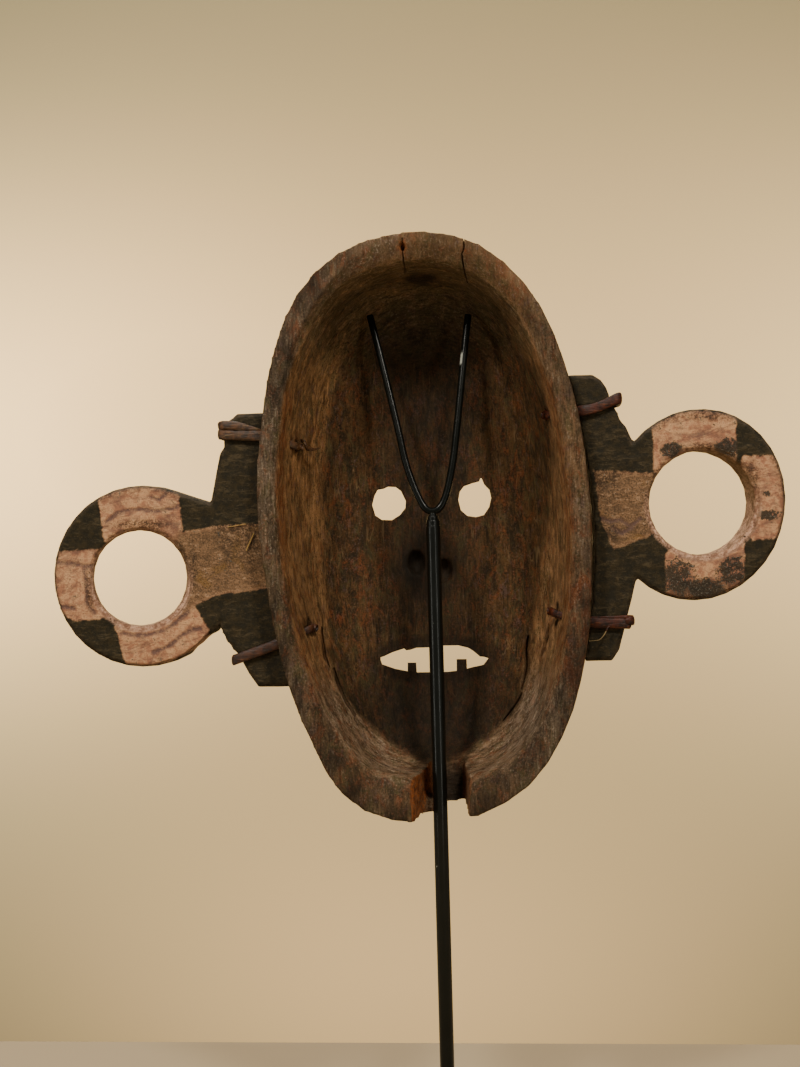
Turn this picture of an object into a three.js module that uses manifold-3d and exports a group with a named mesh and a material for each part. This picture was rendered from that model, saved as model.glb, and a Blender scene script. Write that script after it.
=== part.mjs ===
// Carved wooden Boa mask with two ringed ears, carried on a forked steel stand.
// Millimetres, +Z up. The face looks along -Y, so the open hollow is seen from +Y.
// The origin is at the centre of the stand's foot, on its underside.

import * as THREE from 'three';
import { mergeVertices } from 'three/addons/utils/BufferGeometryUtils.js';
import Module from 'manifold-3d';

const wasm = await Module();
wasm.setup();

// Clearance between pieces that touch
const GAP = 0.3;

// Stand
const FOOT = { width: 220, depth: 170, thickness: 8, edge: 1.5 };
const ROD = { diameter: 10, y: 22, sides: 20 };
const FORK = { diameter: 5, sides: 8, steps: 30 };
const ROD_TOP_IN_MASK = 10.8;

// Where the middle of the mask's rim stands; x, y and z below are measured from it
const MASK_PLACE = new THREE.Vector3(4.1, 50, 447);

// The mask's body: how deep it is, and how round its corners turn from side wall to face
const BODY = { depth: 108, sideTurn: 3.2, topTurn: 3, chinTurn: 4.6 };
const HOLLOW = { depth: 87, turn: 5, sideTaper: 0.17, topTaper: 0.05, rimCrowding: 1.3 };
const BODY_SEGMENTS = 52;
const BODY_RINGS = 10;
const HOLLOW_RINGS = 8;

// Stations round the rim, from the top down by +X and up again by -X:
// x, z and the width of the wood there
const RIM_STATIONS = [
  [-4, 201.6, 20.5],
  [41.6, 194.9, 20],
  [67.6, 179.5, 19],
  [87.7, 155.6, 18],
  [103.3, 114.9, 15.5],
  [111.4, 69.7, 14.5],
  [115.1, 35.4, 14.5],
  [114.7, 1, 14.5],
  [111.3, -30.1, 14],
  [104.2, -75, 14.5],
  [93.5, -116.4, 17],
  [79.7, -149.6, 20],
  [67.2, -174.5, 24],
  [49.6, -191.2, 28],
  [21.8, -201, 31],
  [-6, -201.2, 31],
  [-33, -196.8, 28],
  [-68.2, -176, 22],
  [-94.2, -135.8, 19],
  [-109.4, -79.2, 17],
  [-112.9, -35.4, 16],
  [-113.8, 1.7, 16],
  [-112.4, 24.7, 16],
  [-107.6, 69.5, 16],
  [-99.8, 103.3, 16],
  [-86.6, 140.5, 17],
  [-71, 165.6, 18],
  [-41.8, 191.3, 20],
];

// Face: middle line, eyes, mouth with its stub teeth, and the relief that follows its surface
const FACE_X = 2;
const RIDGE_ROOT = 8;
const RIDGE_SECTION = [[-1, -1], [-0.7, 0.75], [0, 1], [0.7, 0.75], [1, -1]];
const EYES = [
  { x: 32.5, z: 18 },
  { x: -30.5, z: 20 },
];
const EYE = { holeRadius: 12.4, flare: 3, sides: 20, rimRadius: 20.5, rimHalf: 4.6, rimRise: 5 };
const MOUTH = { left: 43, right: -37.5, z: -96.4, rise: 8.2, drop: 10.4, segments: 10 };
const LIPS = { beyond: 7, above: 6, half: 5.2, rise: 6, steps: 24 };
const TEETH = [
  { x: 19.2, width: 6.6, top: -99.4 },
  { x: -17.6, width: 7.5, top: -97.6 },
];
const TOOTH = { back: 92, front: 101, root: -114 };
const BROW = { inner: 3, outer: 68, z: 55, arch: 13, drop: 10, half: 5.4, rise: 7.5, steps: 8 };
// The nose from root to base: z, half its width, depth of its bridge
const NOSE_STATIONS = [
  [62, 5.5, 104],
  [57, 6.5, 114],
  [38, 7, 118],
  [10, 9, 123],
  [-18, 12, 128.5],
  [-33, 14.5, 130.5],
  [-41, 14, 128],
  [-46, 11.5, 120],
  [-48, 9, 104],
];
const NOSE = { root: 92, steps: 6, corner: 0.75 };
const WING = { x: 12.5, z: -36, depth: 110, width: 9.5, height: 8.5, thickness: 11 };
const NOSTRIL_HOLLOWS = [
  { x: 13.5, z: -25.5 },
  { x: -7, z: -32.4 },
];
const NOSTRIL = { width: 5.5, height: 9, depth: 8 };

// Notch in the chin's back wall that the stand's rod passes through
const NOTCH = { rimLeft: 12.4, rimRight: -25.1, endLeft: 2.8, endRight: -18.4, depth: 60, top: -150 };
// Wood left standing low in the notch, in front of the rod
const LEDGE = { right: -6, depth: 34.5, top: -189.6 };

// Ears: plate and ring cut from one board
const EAR = { back: 22, thickness: 22, bevel: 2.2, innerX: 84, wallGap: 1, arcSteps: 13 };
const EAR_HOLE = { sides: 24, lean: 0.26, over: 2 };
const EAR_LEFT = {
  side: 1,
  ring: { x: 202.5, z: -29.4, wide: 64.4, tall: 64.4, turn: 0, from: 112.5, to: -149 },
  hole: { x: 203.3, z: -30.9, radius: 33.8 },
  // plate's edge from its top, down to the ring
  above: [[131.6, 83.2], [135.6, 79.8], [141.9, 76.6], [141.9, 59.6], [144.8, 56], [152.4, 21.2]],
  // plate's edge from the ring, down to its foot
  below: [[145.4, -66.8], [143.7, -72], [136.2, -84.4], [128.4, -99.4], [121.6, -109.4]],
  middleGap: 0,
};
const EAR_RIGHT = {
  side: -1,
  ring: { x: -185.7, z: 10.4, wide: 59.4, tall: 66.2, turn: 15, from: 28, to: 298 },
  hole: { x: -189.8, z: 11.6, radius: 35.6 },
  above: [[-117, 102], [-123, 98], [-130.3, 86.4], [-135.2, 75.6], [-142.4, 57.2]],
  below: [[-138.2, -60], [-130.7, -87.8], [-125.4, -95.4]],
  middleGap: 1.6,
};

// Cane lashings: a flat strip round the plate, through two holes in the mask's wall, knotted inside
const CANE = { width: 7.4, thickness: 3.2, sides: 6, steps: 28, holeMargin: 1 };
const KNOT = { radius: 5, flat: 0.75, long: 1.25, depth: 35.5, inset: 3.2 };
const LASHINGS = [
  { name: 'lashing_left_upper', side: 1, edge: [141.6, 68.7], wall: [112.6, 66.3], knot: [90.4, 59.5] },
  { name: 'lashing_left_lower', side: 1, edge: [135.8, -89], wall: [104.8, -78.3], knot: [83.6, -69.4] },
  { name: 'lashing_right_upper', side: -1, edge: [-132.4, 80.2], wall: [-106.6, 76.5], knot: [-84.4, 75.6] },
  { name: 'lashing_right_lower', side: -1, edge: [-135.2, -69.6], wall: [-111, -68.2], knot: [-84.6, -61.2] },
];

// Colours of the finished surfaces
const material = (color, roughness, metalness = 0) =>
  new THREE.MeshStandardMaterial({ color, roughness, metalness });
const WOOD = material(0x4a3020, 0.8);
const PAINTED_WOOD = material(0x6e4a35, 0.85);
const CANE_BROWN = material(0x4c2c1c, 0.7);
const BLACK_STEEL = material(0x14140f, 0.45, 0.6);

// Closed solids and their joins and cuts

function solid(geometry) {
  const bare = geometry.clone();
  bare.deleteAttribute('normal');
  bare.deleteAttribute('uv');
  const merged = mergeVertices(bare, 1e-4);
  const vertProperties = Float32Array.from(merged.attributes.position.array);
  const triVerts = wholeTriangles(merged.index.array);
  if (signedVolume(vertProperties, triVerts) < 0) triVerts.reverse();
  return new wasm.Manifold(new wasm.Mesh({ numProp: 3, vertProperties, triVerts }));
}

// Leaves out the triangles that closed up to a line at a pole
function wholeTriangles(index) {
  const kept = [];
  for (let i = 0; i < index.length; i += 3) {
    const [a, b, c] = index.slice(i, i + 3);
    if (a !== b && b !== c && c !== a) kept.push(a, b, c);
  }
  return Uint32Array.from(kept);
}

// Negative where a form came out with its faces turned in
function signedVolume(vertices, triangles) {
  const corner = (i) => new THREE.Vector3().fromArray(vertices, 3 * triangles[i]);
  let sum = 0;
  for (let i = 0; i < triangles.length; i += 3) sum += corner(i).dot(corner(i + 1).cross(corner(i + 2)));
  return sum / 6;
}

function geometryOf(manifold) {
  const mesh = manifold.getMesh();
  const geometry = new THREE.BufferGeometry();
  geometry.setAttribute('position', new THREE.BufferAttribute(mesh.vertProperties, 3));
  geometry.setIndex(new THREE.BufferAttribute(mesh.triVerts, 1));
  geometry.computeVertexNormals();
  return geometry;
}

function piece(name, manifold, finish) {
  const mesh = new THREE.Mesh(geometryOf(manifold), finish);
  mesh.name = name;
  return mesh;
}

// A flat outline in x and z, given a thickness from the depth `back` to the depth `front`
function slab(shape, back, front, bevel = 0, curveSegments = 12) {
  const geometry = new THREE.ExtrudeGeometry(shape, {
    depth: front - back - 2 * bevel,
    bevelEnabled: bevel > 0,
    bevelThickness: bevel,
    bevelSize: bevel,
    bevelOffset: -bevel,
    bevelSegments: 1,
    curveSegments,
  });
  geometry.rotateX(Math.PI / 2);
  geometry.translate(0, -back - bevel, 0);
  return geometry;
}

// A strip or rod of elliptic section along a curve
function strip(curve, wide, thick, sides, steps) {
  const section = new THREE.Shape();
  for (let i = 0; i < sides; i += 1) {
    const angle = (i + 0.5) * 2 * Math.PI / sides;
    const x = Math.cos(angle) * wide / 2;
    const y = Math.sin(angle) * thick / 2;
    if (i === 0) section.moveTo(x, y);
    else section.lineTo(x, y);
  }
  section.closePath();
  return new THREE.ExtrudeGeometry(section, { steps, extrudePath: curve, bevelEnabled: false });
}

// A skin over rings of points, each ring closed; capped at both ends unless the rings go full circle
function loft(rings, fullCircle = false) {
  const points = rings.flat();
  const across = rings[0].length;
  const index = [];
  for (let ring = 0; ring < rings.length - (fullCircle ? 0 : 1); ring += 1) {
    const next = (ring + 1) % rings.length;
    for (let i = 0; i < across; i += 1) {
      const j = (i + 1) % across;
      const [a, b] = [ring * across + i, ring * across + j];
      const [c, d] = [next * across + j, next * across + i];
      index.push(a, b, c, a, c, d);
    }
  }
  if (!fullCircle) {
    const last = points.length - across;
    for (let i = 1; i < across - 1; i += 1) index.push(0, i + 1, i, last, last + i, last + i + 1);
  }
  const geometry = new THREE.BufferGeometry().setFromPoints(points);
  geometry.setIndex(index);
  return geometry;
}

// Rim: a smooth closed line through the stations; its y holds the width of the wood
const rimCurve = new THREE.CatmullRomCurve3(
  RIM_STATIONS.map(([x, z, wall]) => new THREE.Vector3(x, wall, z)),
  true,
  'centripetal',
);

function rimPoint(t) {
  const step = 1e-3;
  const here = rimCurve.getPointAt(t % 1);
  const before = rimCurve.getPointAt((t - step + 1) % 1);
  const after = rimCurve.getPointAt((t + step) % 1);
  const along = new THREE.Vector2(after.x - before.x, after.z - before.z).normalize();
  const away = new THREE.Vector2(-along.y, along.x);
  const outer = new THREE.Vector2(here.x, here.z);
  return { outer, away, inner: outer.clone().addScaledVector(away, -here.y) };
}

// Between the side, top and chin values, by where a rim point lies
function blend(point, side, top, chin) {
  const upright = (point.y / point.length()) ** 2;
  return THREE.MathUtils.lerp(side, point.y > 0 ? top : chin, upright);
}

// A point of the rounded body: `angle` 0 is the rim, a right angle is the middle of the face
function bodyAt(rim, angle) {
  const turn = blend(rim, BODY.sideTurn, BODY.topTurn, BODY.chinTurn);
  const spread = Math.max(Math.cos(angle), 0) ** (2 / turn);
  const depth = BODY.depth * Math.sin(angle) ** (2 / turn);
  return new THREE.Vector3(rim.x * spread, -depth, rim.y * spread);
}

// Depth of the body's outer surface at x and z
const RIM_DIRECTIONS = Array.from({ length: 180 }, (_, i) => rimPoint(i / 180).outer);

function faceDepth(x, z) {
  const point = new THREE.Vector2(x, z);
  const along = (rim) => rim.dot(point) / rim.length();
  const rim = RIM_DIRECTIONS.reduce((best, other) => (along(other) > along(best) ? other : best));
  const turn = blend(rim, BODY.sideTurn, BODY.topTurn, BODY.chinTurn);
  const share = Math.min(point.length() / rim.length(), 1);
  return BODY.depth * (1 - share ** turn) ** (1 / turn);
}

// A rounded ridge along a path of x and z that rides on the face
function ridge(path, half, rise, closed = false) {
  const count = path.length;
  const neighbour = (i) => path[closed ? (i + count) % count : THREE.MathUtils.clamp(i, 0, count - 1)];
  const rings = path.map(([x, z], i) => {
    const [fromX, fromZ] = neighbour(i - 1);
    const [toX, toZ] = neighbour(i + 1);
    const along = new THREE.Vector2(toX - fromX, toZ - fromZ).normalize();
    return RIDGE_SECTION.map(([across, height]) => {
      const px = x - along.y * across * half;
      const pz = z + along.x * across * half;
      const raised = height < 0 ? -RIDGE_ROOT : height * rise;
      return new THREE.Vector3(px, -faceDepth(px, pz) - raised, pz);
    });
  });
  return loft(rings, closed);
}

function hollowAt(rim, angle) {
  const spread = Math.max(Math.cos(angle), 0) ** (2 / HOLLOW.turn);
  const depth = HOLLOW.depth * Math.sin(angle) ** (2 / HOLLOW.turn);
  const share = depth / HOLLOW.depth;
  const taperUp = rim.y > 0 ? HOLLOW.topTaper : 0;
  return new THREE.Vector3(
    rim.x * spread * (1 - HOLLOW.sideTaper * share),
    -depth,
    rim.y * spread * (1 - taperUp * share),
  );
}

// The shell is turned like a bowl, then each of its points is moved out to the carved form
function shell() {
  const profile = [];
  const angles = [];
  for (let i = 0; i <= BODY_RINGS; i += 1) {
    const angle = (1 - i / BODY_RINGS) * Math.PI / 2;
    profile.push(new THREE.Vector2(Math.cos(angle), BODY.depth * Math.sin(angle)));
    angles.push({ outside: true, angle });
  }
  for (let i = 0; i <= HOLLOW_RINGS; i += 1) {
    const angle = (i / HOLLOW_RINGS) ** HOLLOW.rimCrowding * Math.PI / 2;
    profile.push(new THREE.Vector2(Math.cos(angle) * 0.8, HOLLOW.depth * Math.sin(angle)));
    angles.push({ outside: false, angle });
  }
  const geometry = new THREE.LatheGeometry(profile, BODY_SEGMENTS);
  const position = geometry.attributes.position;
  for (let segment = 0; segment <= BODY_SEGMENTS; segment += 1) {
    const rim = rimPoint((segment % BODY_SEGMENTS) / BODY_SEGMENTS);
    angles.forEach(({ outside, angle }, ring) => {
      const point = outside ? bodyAt(rim.outer, angle) : hollowAt(rim.inner, angle);
      if (angle === Math.PI / 2) point.set(0, point.y, 0);
      position.setXYZ(segment * angles.length + ring, point.x, point.y, point.z);
    });
  }
  return geometry;
}

// A round hole or ring along y: the profile's points are [radius, depth]
function turned(points, x, z, segments) {
  const profile = points.map(([r, depth]) => new THREE.Vector2(r, -depth));
  const geometry = new THREE.LatheGeometry(profile, segments);
  geometry.translate(x, 0, z);
  return geometry;
}

function mouthShape() {
  const middle = (MOUTH.left + MOUTH.right) / 2;
  const shape = new THREE.Shape();
  shape.moveTo(MOUTH.left, MOUTH.z);
  shape.quadraticCurveTo(middle, MOUTH.z + 2 * MOUTH.rise, MOUTH.right, MOUTH.z);
  shape.quadraticCurveTo(middle, MOUTH.z - 2 * MOUTH.drop, MOUTH.left, MOUTH.z);
  return shape;
}

function lips() {
  const middle = (MOUTH.left + MOUTH.right) / 2;
  const wide = (MOUTH.left - MOUTH.right) / 2 + LIPS.beyond;
  const path = Array.from({ length: LIPS.steps }, (_, i) => {
    const angle = i * 2 * Math.PI / LIPS.steps;
    const high = (Math.sin(angle) > 0 ? MOUTH.rise : MOUTH.drop) + LIPS.above;
    return [middle + wide * Math.cos(angle), MOUTH.z + high * Math.sin(angle)];
  });
  return ridge(path, LIPS.half, LIPS.rise, true);
}

function eyeRim({ x, z }) {
  const path = Array.from({ length: EYE.sides }, (_, i) => {
    const angle = i * 2 * Math.PI / EYE.sides;
    return [x + EYE.rimRadius * Math.cos(angle), z + EYE.rimRadius * Math.sin(angle)];
  });
  return ridge(path, EYE.rimHalf, EYE.rimRise, true);
}

// A brow is an arched ridge from the root of the nose to the temple
function brow(side) {
  const path = Array.from({ length: BROW.steps + 1 }, (_, i) => {
    const t = i / BROW.steps;
    const x = FACE_X + side * THREE.MathUtils.lerp(BROW.inner, BROW.outer, t);
    return [x, BROW.z + BROW.arch * Math.sin(Math.PI * t) - BROW.drop * t];
  });
  return ridge(path, BROW.half, BROW.rise);
}

// The nose is a rounded wedge that widens to its base
function nose() {
  const rings = NOSE_STATIONS.map(([z, half, depth]) => Array.from({ length: NOSE.steps + 1 }, (_, i) => {
    const angle = Math.PI * i / NOSE.steps;
    const across = Math.sign(Math.cos(angle)) * Math.abs(Math.cos(angle)) ** NOSE.corner;
    const out = NOSE.root + (depth - NOSE.root) * Math.max(Math.sin(angle), 0) ** NOSE.corner;
    return new THREE.Vector3(FACE_X + half * across, -out, z);
  }));
  return loft(rings);
}

function wing(side) {
  const geometry = new THREE.SphereGeometry(1, 10, 6);
  geometry.scale(WING.width, WING.thickness, WING.height);
  geometry.translate(FACE_X + side * WING.x, -WING.depth, WING.z);
  return geometry;
}

function notchCutter() {
  const behind = 8;
  const below = -230;
  const spread = behind / NOTCH.depth;
  const plan = new THREE.Shape([
    new THREE.Vector2(NOTCH.rimLeft + (NOTCH.rimLeft - NOTCH.endLeft) * spread, behind),
    new THREE.Vector2(NOTCH.rimRight + (NOTCH.rimRight - NOTCH.endRight) * spread, behind),
    new THREE.Vector2(NOTCH.endRight, -NOTCH.depth),
    new THREE.Vector2(NOTCH.endLeft, -NOTCH.depth),
  ]);
  const geometry = new THREE.ExtrudeGeometry(plan, { depth: NOTCH.top - below, bevelEnabled: false });
  geometry.translate(0, 0, below);
  const ledge = new THREE.BoxGeometry(40, 40, 40);
  ledge.translate(LEDGE.right + 20, -LEDGE.depth - 20, LEDGE.top - 20);
  return solid(geometry).subtract(solid(ledge));
}

// Lashings: from the knot out through the wall, round the plate and back
function lashingCurve({ side, edge, wall, knot }) {
  const clear = CANE.thickness / 2 + 2 * GAP;
  const back = -EAR.back + clear;
  const front = -EAR.back - EAR.thickness - clear;
  const [edgeX, edgeZ] = edge;
  const [wallX, wallZ] = wall;
  const [knotX, knotZ] = knot;
  const slope = (edgeZ - wallZ) / (edgeX - wallX);
  const rest = (x, depth) => [x, depth, wallZ + (x - wallX) * slope];
  const turnIn = (shift, depth) => [knotX + side * shift, depth, knotZ + (wallZ - knotZ) * 0.4];
  const knotted = (shift, from) => [knotX + side * shift, -KNOT.depth + from, knotZ];
  const out = edgeX + side * (clear + GAP);
  const corner = side * 2;
  const points = [
    knotted(-4, 0.5),
    knotted(-1, 5.5),
    turnIn(8, -25),
    [wallX, back, wallZ],
    rest(edgeX - side * 12, back),
    rest(edgeX - corner, back),
    rest(out - corner / 4, back - 1.2),
    rest(out, back - 4),
    rest(out, front + 4),
    rest(out - corner / 4, front + 1.2),
    rest(edgeX - corner, front),
    rest(edgeX - side * 12, front),
    [wallX - side * 1.5, front, wallZ],
    turnIn(7, -43.5),
    knotted(-2, -4.5),
    knotted(-4, -0.5),
  ];
  return new THREE.CatmullRomCurve3(points.map((p) => new THREE.Vector3(...p)), false, 'centripetal');
}

function lashing(spec, margin = 0) {
  const wide = CANE.width + 2 * margin;
  const thick = CANE.thickness + 2 * margin;
  const band = solid(strip(lashingCurve(spec), wide, thick, CANE.sides, CANE.steps));
  const ball = new THREE.SphereGeometry(KNOT.radius + margin, 8, 6);
  ball.scale(KNOT.flat, KNOT.long, 1);
  ball.translate(spec.knot[0] - spec.side * KNOT.inset, -KNOT.depth, spec.knot[1]);
  return band.add(solid(ball));
}

function mask() {
  let wood = solid(shell());
  wood = wood.add(solid(nose())).add(solid(lips()));
  for (const side of [1, -1]) wood = wood.add(solid(brow(side))).add(solid(wing(side)));
  for (const eye of EYES) wood = wood.add(solid(eyeRim(eye)));
  // Openings
  for (const { x, z } of EYES) {
    wood = wood.subtract(solid(turned([
      [0, HOLLOW.depth - 20],
      [EYE.holeRadius, HOLLOW.depth - 20],
      [EYE.holeRadius, HOLLOW.depth],
      [EYE.holeRadius + EYE.flare, BODY.depth + 30],
      [0, BODY.depth + 30],
    ], x, z, EYE.sides)));
  }
  const mouth = slab(mouthShape(), HOLLOW.depth - 20, BODY.depth + 30, 0, MOUTH.segments);
  wood = wood.subtract(solid(mouth));
  for (const { x, width, top } of TEETH) {
    const tooth = new THREE.BoxGeometry(width, TOOTH.front - TOOTH.back, top - TOOTH.root);
    tooth.translate(x, -(TOOTH.front + TOOTH.back) / 2, (top + TOOTH.root) / 2);
    wood = wood.add(solid(tooth));
  }
  for (const { x, z } of NOSTRIL_HOLLOWS) {
    const dent = new THREE.SphereGeometry(1, 10, 6);
    dent.scale(NOSTRIL.width, NOSTRIL.depth, NOSTRIL.height);
    dent.translate(x, -HOLLOW.depth, z);
    wood = wood.subtract(solid(dent));
  }
  wood = wood.subtract(notchCutter());
  for (const spec of LASHINGS) wood = wood.subtract(lashing(spec, CANE.holeMargin));
  return wood;
}

// The mask's outer form without its hollow, grown all round by a clearance
function bodyForm(clearance) {
  const profile = [];
  const angles = [];
  for (let i = 0; i <= BODY_RINGS; i += 1) {
    const angle = (1 - i / BODY_RINGS) * Math.PI / 2;
    angles.push(angle);
    profile.push(new THREE.Vector2(Math.cos(angle), Math.sin(angle)));
  }
  profile.push(new THREE.Vector2(1, -1), new THREE.Vector2(0, -1));
  const geometry = new THREE.LatheGeometry(profile, BODY_SEGMENTS);
  const position = geometry.attributes.position;
  for (let segment = 0; segment <= BODY_SEGMENTS; segment += 1) {
    const { outer, away } = rimPoint((segment % BODY_SEGMENTS) / BODY_SEGMENTS);
    const rim = outer.clone().addScaledVector(away, clearance(outer.y));
    const first = segment * profile.length;
    angles.forEach((angle, ring) => {
      const point = bodyAt(rim, angle);
      if (angle === Math.PI / 2) point.set(0, point.y, 0);
      position.setXYZ(first + ring, point.x, point.y, point.z);
    });
    position.setXYZ(first + angles.length, rim.x, EAR.back, rim.y);
    position.setXYZ(first + angles.length + 1, 0, EAR.back, 0);
  }
  return solid(geometry);
}

// The hole in an ear's ring has eased edges and leans outwards through the board
function earHole({ x, z, radius }) {
  const front = EAR.back + EAR.thickness;
  const wide = radius + EAR.bevel + EAR_HOLE.over;
  const geometry = turned([
    [0, EAR.back - EAR_HOLE.over],
    [wide, EAR.back - EAR_HOLE.over],
    [radius, EAR.back + EAR.bevel],
    [radius, front - EAR.bevel],
    [wide, front + EAR_HOLE.over],
    [0, front + EAR_HOLE.over],
  ], 0, 0, EAR_HOLE.sides);
  geometry.applyMatrix4(new THREE.Matrix4().makeShear(0, 0, -EAR_HOLE.lean, 0, 0, 0));
  geometry.translate(x - EAR_HOLE.lean * EAR.back, 0, z);
  return solid(geometry);
}

// An ear's inner edge is hollowed to the mask's side wall
function ear({ side, ring, hole, above, below, middleGap }) {
  const [, top] = above[0];
  const [, foot] = below[below.length - 1];
  const shape = new THREE.Shape();
  shape.moveTo(side * EAR.innerX, top);
  for (const [x, z] of above) shape.lineTo(x, z);
  const [from, to, turn] = [ring.from, ring.to, ring.turn].map(THREE.MathUtils.degToRad);
  shape.absellipse(ring.x, ring.z, ring.wide, ring.tall, from, to, side > 0, turn);
  for (const [x, z] of below) shape.lineTo(x, z);
  shape.lineTo(side * EAR.innerX, foot);
  const board = solid(slab(shape, EAR.back, EAR.back + EAR.thickness, EAR.bevel, EAR.arcSteps));
  const bulge = (z) => Math.max(0, 1 - (z / 60) ** 2);
  return board.subtract(earHole(hole)).subtract(bodyForm((z) => EAR.wallGap + middleGap * bulge(z)));
}

// Fork: one rod bent into a V; both tips bear inside the forehead
const FORK_ROUTE = [
  [40, -61.4, 153.2],
  [29.5, -51.5, 110.7],
  [19.8, -41.6, 69.1],
  [13.9, -35.6, 43.2],
  [6.3, -30.5, 21.8],
  [1.2, -28.6, 15],
  [-4.1, -28, 13.7],
  [-8.6, -28.6, 15],
  [-13.8, -30.7, 22.6],
  [-18.6, -36.1, 45.5],
  [-21.5, -41.3, 67.8],
  [-27, -53.2, 118],
  [-30.7, -61, 151],
];

function fork() {
  const route = FORK_ROUTE.map((p) => new THREE.Vector3(...p));
  const curve = new THREE.CatmullRomCurve3(route, false, 'centripetal');
  return strip(curve, FORK.diameter, FORK.diameter, FORK.sides, FORK.steps);
}

function rod() {
  const bottom = FOOT.thickness + GAP;
  const top = MASK_PLACE.z + ROD_TOP_IN_MASK;
  const geometry = new THREE.CylinderGeometry(ROD.diameter / 2, ROD.diameter / 2, top - bottom, ROD.sides);
  geometry.rotateX(Math.PI / 2);
  geometry.translate(0, ROD.y, (top + bottom) / 2);
  return geometry;
}

function foot() {
  const { width, depth, thickness, edge } = FOOT;
  const shape = new THREE.Shape([
    new THREE.Vector2(-width / 2, -depth / 2),
    new THREE.Vector2(width / 2, -depth / 2),
    new THREE.Vector2(width / 2, depth / 2),
    new THREE.Vector2(-width / 2, depth / 2),
  ]);
  const geometry = new THREE.ExtrudeGeometry(shape, {
    depth: thickness - 2 * edge,
    bevelThickness: edge,
    bevelSize: edge,
    bevelOffset: -edge,
    bevelSegments: 1,
  });
  geometry.translate(0, 0, edge);
  return geometry;
}

const carried = new THREE.Group();
carried.position.copy(MASK_PLACE);
carried.add(piece('mask', mask(), WOOD));
carried.add(piece('ear_left', ear(EAR_LEFT), PAINTED_WOOD));
carried.add(piece('ear_right', ear(EAR_RIGHT), PAINTED_WOOD));
for (const spec of LASHINGS) carried.add(piece(spec.name, lashing(spec), CANE_BROWN));
carried.add(piece('stand_fork', solid(fork()), BLACK_STEEL));

const object = new THREE.Group();
object.add(carried);
object.add(piece('stand_rod', solid(rod()), BLACK_STEEL));
object.add(piece('stand_base', solid(foot()), BLACK_STEEL));

export default object;
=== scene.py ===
"""Looks of a carved wooden Boa mask, seen from its open back on a forked steel stand."""

import sys

import logging
import math
from dataclasses import dataclass
from enum import Enum

import bmesh
import bpy
import numpy as np
from mathutils import Matrix, Vector


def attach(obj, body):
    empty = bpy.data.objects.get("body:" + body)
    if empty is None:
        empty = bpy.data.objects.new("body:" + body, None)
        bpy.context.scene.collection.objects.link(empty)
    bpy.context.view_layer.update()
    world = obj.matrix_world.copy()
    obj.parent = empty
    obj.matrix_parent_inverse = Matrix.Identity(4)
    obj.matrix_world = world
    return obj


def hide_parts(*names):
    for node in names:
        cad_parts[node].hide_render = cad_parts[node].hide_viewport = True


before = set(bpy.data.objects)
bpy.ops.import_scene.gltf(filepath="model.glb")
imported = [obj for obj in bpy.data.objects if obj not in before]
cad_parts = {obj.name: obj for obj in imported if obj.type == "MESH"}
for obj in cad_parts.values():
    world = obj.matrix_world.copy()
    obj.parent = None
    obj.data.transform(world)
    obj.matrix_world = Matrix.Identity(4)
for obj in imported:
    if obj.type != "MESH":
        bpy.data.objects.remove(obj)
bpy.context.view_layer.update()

LOG = logging.getLogger("boa_mask")
MM = 0.001
MERGE_REACH = 1e-6
SPAN_STEPS = 24
# All in millimetres: the middle of the mask's rim, half the rim's width and height, the air between pieces
MASK_PLACE = np.array([4.1, 50.0, 447.0])
RIM_HALF = (112.0, 200.0)
GAP = 0.3


class Slot(Enum):
    """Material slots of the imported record."""

    WOOD = "carved_wood"
    PAINTED = "painted_wood"
    CANE = "cane"
    STEEL = "black_steel"


class Side(Enum):
    """The mask's own left (+X) and right (-X)."""

    LEFT = 1
    RIGHT = -1


# Colour, noise and mesh helpers


def tint(code: str) -> tuple[float, float, float, float]:
    """Turn a six-digit display colour into linear light.

    Args:
        code: Red, green and blue as hexadecimal pairs.

    Returns:
        Linear red, green, blue and an alpha of 1.
    """
    parts = [int(code[i : i + 2], 16) / 255 for i in (0, 2, 4)]
    linear = [c / 12.92 if c <= 0.04045 else ((c + 0.055) / 1.055) ** 2.4 for c in parts]
    return (*linear, 1.0)


def ease(value: np.ndarray, low: float, high: float) -> np.ndarray:
    """Rise smoothly from 0 at low to 1 at high.

    Args:
        value: Numbers to map.
        low: Where the rise starts; above high for a fall.
        high: Where it ends.

    Returns:
        Numbers from 0 to 1.
    """
    t = np.clip((value - low) / (high - low), 0, 1)
    return t * t * (3 - 2 * t)


def lattice(cells: np.ndarray, seed: int) -> np.ndarray:
    """Give each whole-numbered lattice point a fixed number from 0 to 1.

    Args:
        cells: Integer points, shape (..., 3).
        seed: Which set of numbers to use.

    Returns:
        One number a point.
    """
    c = cells.astype(np.int64)
    mixed = c[..., 0] * 73856093 ^ c[..., 1] * 19349663 ^ c[..., 2] * 83492791 ^ seed * 2654435
    mixed = (mixed ^ (mixed >> 13)) * 1274126177 & 0x7FFFFFFF
    mixed = (mixed ^ (mixed >> 16)) & 0xFFFFF
    return mixed / 0xFFFFF


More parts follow.
